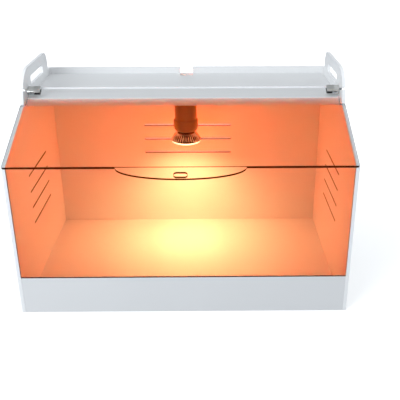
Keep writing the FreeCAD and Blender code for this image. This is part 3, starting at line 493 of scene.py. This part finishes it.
# Rows of vents in metres: where their middle and ends are, and the heights of the lowest and highest.
SIDE_VENTS = {"Middle": 0.0075, "Half_Length": 0.0700, "Lowest": 0.1197, "Pitch": 0.0325, "Highest": 0.2172}
BACK_VENTS = {"Middle": 0.0, "Half_Length": 0.0955, "Lowest": 0.1746, "Pitch": 0.0318, "Highest": 0.2382}

# Each vented board's row of vents, and the axis that the vents run along.
VENT_ROWS = {
    "left_side_wall": (SIDE_VENTS, "Y"),
    "right_side_wall": (SIDE_VENTS, "Y"),
    "back_wall": (BACK_VENTS, "X"),
}

# The painted shade reaches this far from a vent's middle line. The mask goes from 0 there to 1 on the line.
VENT_SHADE_REACH = 3.2 * MM
VENT_WALL_MASK = (0.0, 0.05)
VENT_RIM_MASK = (0.28, 0.6)
VENT_RIM_SHADE = 0.85


def vented_colour(finish, colour, edge, vents, along):
    """A board's colour with painted shade on its vent walls and a softer dark rim around each vent."""
    tree = finish.tree
    axes = place_axes(finish)
    row = group_node(tree, vent_row, Reach=VENT_SHADE_REACH, **vents)
    feed(tree, (axes, along), row.inputs["Along"])
    feed(tree, (axes, "Z"), row.inputs["Across"])
    walls = maths(tree, "MULTIPLY", edge, step_between(tree, (row, "Mask"), *VENT_WALL_MASK))
    rim = maths(tree, "MULTIPLY", step_between(tree, (row, "Mask"), *VENT_RIM_MASK), VENT_RIM_SHADE)
    # Painted shade: darkens the vent walls fully and the rims around the vents more softly.
    vent_shade_mask = maths(tree, "MAXIMUM", walls, rim, clamp=True)
    return blend_colours(tree, vent_shade_mask, colour, bpy.context.scene.brooder_colours.vent_shade)


def board_material(node_name, normal):
    """White foamed board: satin faces, sawn edges, and painted shade in and around the vents where the board
    has them.
    """
    colours = bpy.context.scene.brooder_colours
    finish = new_finish(node_name + "_finish", roughness=0.46, specular=0.35)
    edge = edge_mask(finish, normal)
    colour = blend_colours(finish.tree, edge, colours.board, colours.board_edge)
    if node_name in VENT_ROWS:
        colour = vented_colour(finish, colour, edge, *VENT_ROWS[node_name])
    surfaced(finish, colour, mottle=0.035, gloss_change=0.12, patch_scale=9.0, grain_scale=1400.0,
             relief=0.12, relief_depth=0.15 * MM)
    return finish.material


class BROODER_OT_boards(bpy.types.Operator):
    """Give the box's boards their white satin finish, sawn edges and vents"""
    bl_idname = "brooder.boards"
    bl_label = "Boards"

    def execute(self, context):
        for node_name, normal in BOARD_NORMALS.items():
            dress(node_name, board_material(node_name, normal))
        return {"FINISHED"}


# Clear sheets

LID_SLOPE = math.radians(21.526)

# Where the edges painted dark as shade begin, in front of the side walls, and how wide the cabin is between
# them.
JUST_CLEAR = 0.5 * MM
WALLS_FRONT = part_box("right_side_wall")[0].y - JUST_CLEAR
CABIN_HALF_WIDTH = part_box("right_side_wall")[0].x - JUST_CLEAR

SHEET_FACE = (0.93, 0.95, 0.97, 1.0)
SHEET_IOR = 1.40
STRONG_EDGE_ALPHA = 0.96
EDGE_ROUGHNESS = 0.35
# Strength of the painted glow that makes the rear cut edge look lit.
PAINTED_GLOW_STRENGTH = 0.22


def sheet_alpha(finish, edge, axes, strong_edge, side_alpha, clear_behind, blocked_before):
    """A clear sheet's cover: faint like a mirror on its faces and strong on its edges.

    Over the cabin the sheet also holds back the studio light, which the camera doesn't notice.
    """
    tree = finish.tree
    mirror = add_node(tree, "ShaderNodeFresnel", IOR=SHEET_IOR)
    side = add_node(tree, "ShaderNodeNewGeometry")
    outside = maths(tree, "SUBTRACT", 1.0, (side, "Backfacing"))
    face_cover = maths(tree, "MULTIPLY", (mirror, "Fac"), outside)
    stronger = maths(tree, "MULTIPLY", strong_edge, STRONG_EDGE_ALPHA - side_alpha)
    edge_cover = maths(tree, "MULTIPLY", edge, maths(tree, "ADD", stronger, side_alpha))
    seen_cover = maths(tree, "MAXIMUM", face_cover, edge_cover)
    path = add_node(tree, "ShaderNodeLightPath")
    unseen = maths(tree, "SUBTRACT", 1.0, (path, "Is Camera Ray"))
    in_front = step_between(tree, (axes, "Y"), clear_behind, blocked_before)
    between_walls = maths(tree, "LESS_THAN", maths(tree, "ABSOLUTE", (axes, "X")), CABIN_HALF_WIDTH)
    over_cabin = maths(tree, "MULTIPLY", in_front, between_walls)
    return maths(tree, "MAXIMUM", seen_cover, maths(tree, "MULTIPLY", unseen, over_cabin), clamp=True)


def sheet_material(name, normal, dark_before, clear_behind, blocked_before, side_alpha):
    """Clear sheet: a faint mirror over what lies behind it, with cut edges painted dark as shade towards the
    front, pale in the middle and bright with a painted glow towards the rear.
    """
    colours = bpy.context.scene.brooder_colours
    finish = new_finish(name, roughness=0.04, metallic=1.0)
    tree, shader = finish.tree, finish.shader
    edge = edge_mask(finish, normal)
    axes = place_axes(finish)
    dark = maths(tree, "LESS_THAN", (axes, "Y"), dark_before)
    rear = maths(tree, "GREATER_THAN", (axes, "Y"), 0.0)

    # Painted light and shade: the cut edge is dark in front, pale at the sides and bright at the rear.
    pale = blend_colours(tree, rear, colours.sheet_side_edge, colours.sheet_rear_edge)
    edge_colour = blend_colours(tree, dark, pale, colours.sheet_edge)
    smudges = group_node(tree, moulded_surface, Mottle=0.04, Patch_Scale=14.0, Grain_Scale=240.0,
                         Roughness=0.05, Gloss_Change=0.06)
    feed(tree, (finish.places, "Object"), smudges.inputs["Vector"])
    feed(tree, blend_colours(tree, edge, SHEET_FACE, edge_colour), smudges.inputs["Color"])
    feed(tree, (smudges, "Color"), shader.inputs["Base Color"])

    edge_roughness = maths(tree, "MULTIPLY", edge, EDGE_ROUGHNESS)
    roughness = maths(tree, "ADD", (smudges, "Roughness"), edge_roughness, clamp=True)
    feed(tree, roughness, shader.inputs["Roughness"])
    pale_edge = maths(tree, "MULTIPLY", edge, maths(tree, "SUBTRACT", 1.0, dark))
    feed(tree, maths(tree, "SUBTRACT", 1.0, pale_edge), shader.inputs["Metallic"])
    # Painted highlight: the rear cut edge glows faintly in its bright colour, though it is no lamp.
    lit_edge = maths(tree, "MULTIPLY", edge, rear)
    painted_glow = blend_colours(tree, lit_edge, BLACK, colours.sheet_rear_edge)
    feed(tree, painted_glow, shader.inputs["Emission Color"])
    shader.inputs["Emission Strength"].default_value = PAINTED_GLOW_STRENGTH

    strong_edge = maths(tree, "MAXIMUM", dark, rear)
    alpha = sheet_alpha(finish, edge, axes, strong_edge, side_alpha, clear_behind, blocked_before)
    feed(tree, alpha, shader.inputs["Alpha"])
    return finish.material


class BROODER_OT_clear_sheets(bpy.types.Operator):
    """Give the lid and the front window their clear finish and their cut edges"""
    bl_idname = "brooder.clear_sheets"
    bl_label = "Clear sheets"

    def execute(self, context):
        lid_normal = (0.0, -math.sin(LID_SLOPE), math.cos(LID_SLOPE))
        dress("lid", sheet_material("lid_finish", lid_normal, dark_before=WALLS_FRONT,
                                    clear_behind=-0.017, blocked_before=-0.038, side_alpha=0.75))
        window_normal = (0.0, 1.0, 0.0)
        dress("front_window", sheet_material("window_finish", window_normal, dark_before=0.0,
                                             clear_behind=-0.10, blocked_before=-0.11, side_alpha=0.85))
        return {"FINISHED"}


# Hinge hardware

CLIP_CORNER = math.radians(28)
PIN_STEEL = (0.58, 0.59, 0.60, 1.0)
GRUB_SCREW_STEEL = (0.10, 0.10, 0.11, 1.0)
PAD_RUBBER = (0.03, 0.03, 0.032, 1.0)


def make_hinge_clip(side, plating, edge_size):
    """One of the lid's clips, with the edges of its solid rounded."""
    node_name = side + "_hinge_clip"
    bm = bmesh_of(node_name)
    corners = [edge for edge in bm.edges if edge.is_manifold and edge.calc_face_angle() > CLIP_CORNER]
    bmesh.ops.bevel(bm, geom=corners, offset=edge_size, offset_type="OFFSET", segments=2, profile=0.5,
                    affect="EDGES", material=-1, clamp_overlap=True)
    make_piece(node_name + "_body", bm, "lid", plating, (node_name,))


class BROODER_OT_hinge(bpy.types.Operator):
    """Make the plated hinge clips, and finish their pins, pads and screws"""
    bl_idname = "brooder.hinge"
    bl_label = "Hinge clips"

    def execute(self, context):
        plating = metal_material("clip_plating", context.scene.brooder_colours.clip, 0.24, metallic=0.5)
        steel = metal_material("pin_steel", PIN_STEEL, 0.28)
        rubber = plain_material("clip_pad_rubber", PAD_RUBBER, 0.8, mottle=0.2, grain_scale=2000.0,
                                relief=0.3)
        for side in ("left", "right"):
            make_hinge_clip(side, plating, context.scene.brooder_sizes.clip_edge)
            dress(side + "_hinge_pin", steel)
            dress(side + "_clip_pad", rubber)
        blackened = metal_material("grub_screw_steel", GRUB_SCREW_STEEL, 0.35)
        for node_name in ("pin_lock_screws", "lid_clamp_screws"):
            dress(node_name, blackened)
        return {"FINISHED"}


# Lamp holder

PORCELAIN = (0.80, 0.77, 0.70, 1.0)
BRASS = (0.72, 0.50, 0.20, 1.0)
SCREW_STEEL = (0.55, 0.56, 0.57, 1.0)

# The rolled screw shell. Its thread stops short of the shell's two ends by the end gap.
SHELL_RADIUS = 13.88 * MM
SHELL_THREAD_DEPTH = 0.35 * MM
SHELL_WALL = 0.3 * MM
SHELL_END_GAP = 0.1 * MM

# The skirt's wall as (radius, height) points in millimetres above its foot, up its neck's bore, down
# its outside and back up its own bore.
SKIRT_NECK = [(17.6, 22.0), (17.6, 45.0), (19.9, 45.0), (19.9, 25.0), (22.6, 25.0)]
SKIRT_SHOULDER = arc(22.0, 21.2, 3.0, 62, 0, 6)
SKIRT_FOOT = [(25.0, 10.0), (24.8, 7.6), (24.2, 5.2), (23.3, 3.0), (22.4, 1.3), (21.6, 0.3), (21.0, 0.0),
              (20.2, 0.2), (20.0, 0.6), (20.0, 22.0)]


def lamp_axis(height=0.0):
    """The point at a height on the lamp's upright axis."""
    low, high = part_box("lamp_holder_housing")
    middle = (low + high) / 2
    return Vector((middle.x, middle.y, height))


def holder_plastic():
    """Brown moulded plastic with a painted sheen that lightens it towards the outline."""
    colours = bpy.context.scene.brooder_colours
    finish = new_finish("holder_plastic", roughness=0.38)
    # Painted sheen: lighter towards the outline.
    shade = flank_colour(finish.tree, colours.holder, colours.holder_flank, 0.15, 0.70)
    surfaced(finish, shade, mottle=0.08, gloss_change=0.12, patch_scale=40.0, grain_scale=1600.0,
             relief=0.08)
    return finish.material


def make_screw_shell(brass, pitch):
    """The rolled brass shell that the bulb's cap screws into."""
    low, high = (corner.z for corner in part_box("lamp_screw_shell"))
    bm = threaded(SHELL_RADIUS, low + SHELL_END_GAP, high - SHELL_END_GAP, pitch, SHELL_THREAD_DEPTH,
                  lamp_axis())
    bmesh.ops.recalc_face_normals(bm, faces=bm.faces)
    bmesh.ops.solidify(bm, geom=bm.faces[:], thickness=SHELL_WALL)
    make_piece("lamp_shell_thread", bm, "box", brass, ("lamp_screw_shell",))


class BROODER_OT_lamp_holder(bpy.types.Operator):
    """Make the lamp holder's skirt and screw shell, and finish its housing and inner pieces"""
    bl_idname = "brooder.lamp_holder"
    bl_label = "Lamp holder"

    def execute(self, context):
        plastic = holder_plastic()
        dress("lamp_holder_housing", plastic)
        foot = lamp_axis(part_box("lamp_holder_skirt")[0].z)
        skirt = spun(SKIRT_NECK + SKIRT_SHOULDER + SKIRT_FOOT, foot, ring=True)
        make_piece("lamp_holder_skirt_ring", skirt, "box", plastic, ("lamp_holder_skirt",))
        porcelain = plain_material("porcelain_insert", PORCELAIN, 0.5, mottle=0.06, grain_scale=1500.0)
        dress("lamp_holder_insert", porcelain)
        brass = metal_material("lamp_brass", BRASS, 0.3)
        for node_name in ("lamp_centre_contact", "lamp_cable_terminals"):
            dress(node_name, brass)
        make_screw_shell(brass, context.scene.brooder_sizes.thread_pitch)
        steel = metal_material("lamp_screw_steel", SCREW_STEEL, 0.32)
        for node_name in ("lamp_terminal_screws", "lamp_holder_screws"):
            dress(node_name, steel)
        return {"FINISHED"}


# Heat bulb

FACE_GLASS = (0.9, 0.8, 0.65, 1.0)
FACE_GLOW = 2.2
CAP_ALUMINIUM = (0.70, 0.70, 0.71, 1.0)
INSULATOR_GLASS = (0.012, 0.012, 0.014, 1.0)

# The reflector's outline as (radius, height) points in millimetres above the face's lowest point, from
# the top of the neck down to the mouth.
BULB_NECK = [(0.0, 70.3), (13.0, 70.3), (14.6, 67.0), (16.4, 62.0), (17.0, 56.0), (17.0, 26.6), (17.3, 25.4)]
BULB_FLARE = [(18.4, 24.4), (20.4, 23.2), (22.3, 21.4), (24.1, 18.8), (26.1, 15.8), (28.1, 12.7),
              (29.9, 9.9), (30.9, 8.2), (31.1, 7.4), (31.1, 6.6)]
BULB_MOUTH = [(30.4, 5.9), (0.0, 5.9)]
FLUTES_LOW = 9.0 * MM
FLUTES_HIGH = 20.0 * MM
STEPS_IN_A_FLUTE = 4

# The glowing face's outline, measured the same way, from its middle out to its rim and back below.
BULB_FACE = [(0.0, 6.2), (30.4, 6.2), (30.9, 6.4), (30.6, 5.4), (29.0, 3.6), (25.0, 1.8), (18.0, 0.6),
             (9.0, 0.1), (0.0, 0.0)]

# The cap's thread runs from above its plain foot to below its top, which narrows at a shoulder.
CAP_RADIUS = 13.05 * MM
CAP_FOOT_HEIGHT = 3.2 * MM
CAP_FOOT_TURN_IN = 0.4 * MM
CAP_FOOT_NARROWING = 0.985
CAP_TOP_HEIGHT = 4.3 * MM
CAP_SHOULDER_HEIGHT = 2.2 * MM
CAP_SHOULDER_NARROWING = 0.96
CAP_TOP_NARROWING = 0.74


def press_flutes(bm, foot, count, depth):
    """Presses upright flutes into the reflector's flare."""
    for vert in bm.verts:
        if FLUTES_LOW < vert.co.z - foot.z < FLUTES_HIGH:
            outward = Vector((vert.co.x - foot.x, vert.co.y - foot.y, 0.0)).normalized()
            turn = math.atan2(outward.y, outward.x)
            vert.co -= outward * depth * (0.5 - 0.5 * math.cos(count * turn))


def make_reflector(sizes, colours):
    """The bulb's mirrored glass, with a painted reflection that is dark where it is seen square on and
    bright towards its outline.
    """
    finish = new_finish("reflector_mirror", roughness=0.10, metallic=1.0)
    # Painted reflection: dark where the glass is seen square on, bright towards the outline.
    shade = flank_colour(finish.tree, colours.mirror, colours.mirror_flank, 0.04, 0.26)
    surfaced(finish, shade, mottle=0.08, patch_scale=90.0)
    foot = lamp_axis(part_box("bulb_glass")[0].z)
    bm = spun(BULB_NECK + BULB_FLARE + BULB_MOUTH, foot, STEPS_IN_A_FLUTE * sizes.flute_count)
    press_flutes(bm, foot, sizes.flute_count, sizes.flute_depth)
    make_piece("bulb_reflector", bm, "bulb", finish.material, ("bulb_glass",))


def make_bulb_face(glow):
    """The bulb's glowing face."""
    finish = new_finish("bulb_face_glow", roughness=0.35)
    surfaced(finish, FACE_GLASS, grain_scale=1800.0, relief=0.2)
    finish.shader.inputs["Emission Color"].default_value = glow
    finish.shader.inputs["Emission Strength"].default_value = FACE_GLOW
    face = spun(BULB_FACE, lamp_axis(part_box("bulb_glass")[0].z))
    make_piece("bulb_face", face, "bulb", finish.material)


def make_bulb_cap(aluminium, pitch, depth):
    """The bulb's threaded cap, with its plain foot and its narrowing top."""
    centre = lamp_axis()
    low, high = (corner.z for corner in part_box("bulb_screw_cap"))
    thread_low = low + CAP_FOOT_HEIGHT
    thread_high = high - CAP_TOP_HEIGHT
    foot = low + CAP_FOOT_TURN_IN
    shoulder = high - CAP_SHOULDER_HEIGHT
    bm = threaded(CAP_RADIUS, thread_low, thread_high, pitch, depth, centre)
    pull_rim(bm, thread_low, foot, centre)
    pull_rim(bm, foot, low, centre, CAP_FOOT_NARROWING)
    close_rim(bm, low)
    pull_rim(bm, thread_high, shoulder, centre, CAP_SHOULDER_NARROWING)
    pull_rim(bm, shoulder, high, centre, CAP_TOP_NARROWING)
    close_rim(bm, high)
    make_piece("bulb_cap_thread", bm, "bulb", aluminium, ("bulb_screw_cap",))


class BROODER_OT_bulb(bpy.types.Operator):
    """Make the mirrored reflector bulb with its glowing face and threaded cap"""
    bl_idname = "brooder.bulb"
    bl_label = "Heat bulb"

    def execute(self, context):
        sizes = context.scene.brooder_sizes
        colours = context.scene.brooder_colours
        make_reflector(sizes, colours)
        make_bulb_face(colours.glow)
        aluminium = metal_material("bulb_cap_aluminium", CAP_ALUMINIUM, 0.3)
        make_bulb_cap(aluminium, sizes.thread_pitch, sizes.thread_depth)
        dress("bulb_tip_contact", aluminium)
        dress("bulb_insulator", plain_material("bulb_black_glass", INSULATOR_GLASS, 0.12, mottle=0.1))
        return {"FINISHED"}


# Stage

SENSOR_WIDTH = 36.0
FARTHEST_SEEN = 60.0

FLOOR_RADIUS = 12.0
FLOOR_SEGMENTS = 96
FLOOR_DROP = 0.5 * MM
FLOOR_LIT = (0.28, 0.29, 0.31, 1.0)
FLOOR_SEEN = (0.93, 0.93, 0.93, 1.0)

# The floor's glow for the camera, and how much it rises between the two distances from the box.
FLOOR_GLOW = 0.30
FLOOR_GLOW_RISE = 0.45
FLOOR_GLOW_DISTANCES = (0.9, 3.0)

# Strength of the world behind the box, and what mirrors find there: dim, and bright straight overhead.
BACKDROP = 1.02
MIRRORED_SKY = 0.05
MIRRORED_SKY_RISE = 0.9
OVERHEAD = (0.955, 0.99)

SOFT_LIGHT_SIZE = 1.4
KEY_LIGHT_PLACE = (-1.6, -2.1, 1.2)
REAR_LIGHT_PLACE = (1.7, 2.4, 0.8)
BOX_MIDDLE = (0.0, 0.0, 0.2)

# The bulb's own light starts this far below its face.
LAMP_LIGHT_DROP = 4.0 * MM
LAMP_LIGHT_RADIUS = 20.0 * MM
LAMP_SPOT_ANGLE = math.radians(140)
LAMP_SPOT_BLEND = 0.8


def add_light(name, kind, power, colour, place, target, **properties):
    """A light at a place, turned to a target."""
    data = bpy.data.lights.new(name, kind)
    data.energy = power
    data.color = colour
    for key, value in properties.items():
        setattr(data, key, value)
    light = bpy.data.objects.new(name, data)
    light.location = place
    light.rotation_euler = (Vector(target) - Vector(place)).to_track_quat("-Z", "Y").to_euler()
    bpy.context.scene.collection.objects.link(light)


def make_camera(scene, stage):
    """The camera at the photograph's viewing angle."""
    camera = bpy.data.objects.new("camera", bpy.data.cameras.new("camera"))
    camera.location = stage.camera_place
    camera.rotation_euler = stage.camera_turn
    camera.data.lens = stage.camera_lens
    camera.data.sensor_width = SENSOR_WIDTH
    camera.data.shift_x, camera.data.shift_y = stage.camera_shift
    camera.data.clip_end = FARTHEST_SEEN
    scene.collection.objects.link(camera)
    scene.camera = camera


def floor_material():
    """A pale floor that glows for the camera, more so far from the box, and lights the box less."""
    finish = new_finish("studio_floor", roughness=0.9, specular=0.0)
    tree, shader = finish.tree, finish.shader
    path = add_node(tree, "ShaderNodeLightPath")
    shade = blend_colours(tree, (path, "Is Camera Ray"), FLOOR_LIT, FLOOR_SEEN)
    surfaced(finish, shade, mottle=0.0, relief=0.0)
    distance = add_node(tree, "ShaderNodeVectorMath", operation="LENGTH")
    feed(tree, (finish.places, "Object"), distance.inputs[0])
    far = step_between(tree, (distance, "Value"), *FLOOR_GLOW_DISTANCES)
    glow = maths(tree, "ADD", maths(tree, "MULTIPLY", far, FLOOR_GLOW_RISE), FLOOR_GLOW)
    shader.inputs["Emission Color"].default_value = WHITE
    feed(tree, maths(tree, "MULTIPLY", glow, (path, "Is Camera Ray")), shader.inputs["Emission Strength"])
    return finish.material


def make_floor(scene):
    """The round studio floor, just below the box."""
    bm = bmesh.new()
    bmesh.ops.create_circle(bm, cap_ends=True, segments=FLOOR_SEGMENTS, radius=FLOOR_RADIUS)
    bmesh.ops.translate(bm, verts=bm.verts, vec=(0, 0, -FLOOR_DROP))
    mesh = bpy.data.meshes.new("studio_floor")
    bm.to_mesh(mesh)
    bm.free()
    mesh.materials.append(floor_material())
    floor = bpy.data.objects.new("studio_floor", mesh)
    scene.collection.objects.link(floor)


def make_world(scene, stage):
    """Soft light from all sides, with a white backdrop and its own strength in mirrors."""
    world = bpy.data.worlds.new("studio")
    scene.world = world
    world.use_nodes = True
    tree = world.node_tree
    background = next(node for node in tree.nodes if node.type == "BACKGROUND")
    path = add_node(tree, "ShaderNodeLightPath")
    shade = blend_colours(tree, (path, "Is Camera Ray"), (*stage.light_tint, 1.0), WHITE)
    feed(tree, shade, background.inputs["Color"])
    sky = add_node(tree, "ShaderNodeTexCoord")
    direction = add_node(tree, "ShaderNodeSeparateXYZ")
    feed(tree, (sky, "Generated"), direction.inputs["Vector"])
    overhead = maths(tree, "MULTIPLY", step_between(tree, (direction, "Z"), *OVERHEAD), MIRRORED_SKY_RISE)
    in_mirrors = maths(tree, "ADD", overhead, MIRRORED_SKY)
    mirror_change = maths(tree, "SUBTRACT", in_mirrors, stage.sky_light)
    mirrored = maths(tree, "MULTIPLY", (path, "Is Glossy Ray"), mirror_change)
    seen = maths(tree, "MULTIPLY", (path, "Is Camera Ray"), BACKDROP - stage.sky_light)
    strength = maths(tree, "ADD", maths(tree, "ADD", seen, stage.sky_light), mirrored)
    feed(tree, strength, background.inputs["Strength"])


def make_lights(stage):
    """Two large soft studio lights, and the bulb's light on the floor and on the walls."""
    for name, power, place in (("key_light", stage.key_light, KEY_LIGHT_PLACE),
                               ("rear_light", stage.rear_light, REAR_LIGHT_PLACE)):
        add_light(name, "AREA", power, stage.light_tint, place, BOX_MIDDLE, shape="DISK",
                  size=SOFT_LIGHT_SIZE)
    place = lamp_axis(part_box("bulb_glass")[0].z - LAMP_LIGHT_DROP)
    below = lamp_axis()
    add_light("lamp_spot", "SPOT", stage.lamp_spot, stage.spot_colour, place, below,
              spot_size=LAMP_SPOT_ANGLE, spot_blend=LAMP_SPOT_BLEND, shadow_soft_size=LAMP_LIGHT_RADIUS)
    add_light("lamp_fill", "POINT", stage.lamp_fill, stage.fill_colour, place, below,
              shadow_soft_size=LAMP_LIGHT_RADIUS)


class BROODER_OT_stage(bpy.types.Operator):
    """Make the camera, the pale floor, the soft light and the bulb's own light"""
    bl_idname = "brooder.stage"
    bl_label = "Stage"

    def execute(self, context):
        stage = context.scene.brooder_stage
        make_camera(context.scene, stage)
        make_floor(context.scene)
        make_world(context.scene, stage)
        make_lights(stage)
        context.scene.view_settings.view_transform = "Standard"
        return {"FINISHED"}


class BROODER_PT_panel(bpy.types.Panel):
    """Lists the brooder's pieces and settings"""
    bl_idname = "BROODER_PT_panel"
    bl_label = "Chick brooder box"
    bl_space_type = "VIEW_3D"
    bl_region_type = "UI"
    bl_category = "Brooder"

    def draw(self, context):
        for operator in OPERATORS:
            self.layout.operator(operator.bl_idname)
        for group_name in PROPERTY_GROUPS:
            group = getattr(context.scene, group_name)
            for name in group.bl_rna.properties.keys():
                if name not in ("name", "rna_type"):
                    self.layout.prop(group, name)


OPERATORS = (BROODER_OT_stage, BROODER_OT_boards, BROODER_OT_clear_sheets, BROODER_OT_hinge,
             BROODER_OT_lamp_holder, BROODER_OT_bulb)
PROPERTY_GROUPS = {"brooder_sizes": BrooderSizes, "brooder_colours": BrooderColours,
                   "brooder_stage": BrooderStage}


def register():
    for made_class in (*PROPERTY_GROUPS.values(), *OPERATORS, BROODER_PT_panel):
        bpy.utils.register_class(made_class)
    for name, group in PROPERTY_GROUPS.items():
        setattr(bpy.types.Scene, name, bpy.props.PointerProperty(type=group))


def unregister():
    for name in PROPERTY_GROUPS:
        delattr(bpy.types.Scene, name)
    for made_class in (BROODER_PT_panel, *reversed(OPERATORS), *PROPERTY_GROUPS.values()):
        bpy.utils.unregister_class(made_class)


def main():
    register()
    for operator in OPERATORS:
        group, name = operator.bl_idname.split(".")
        getattr(getattr(bpy.ops, group), name)()


if __name__ == "__main__":
    main()
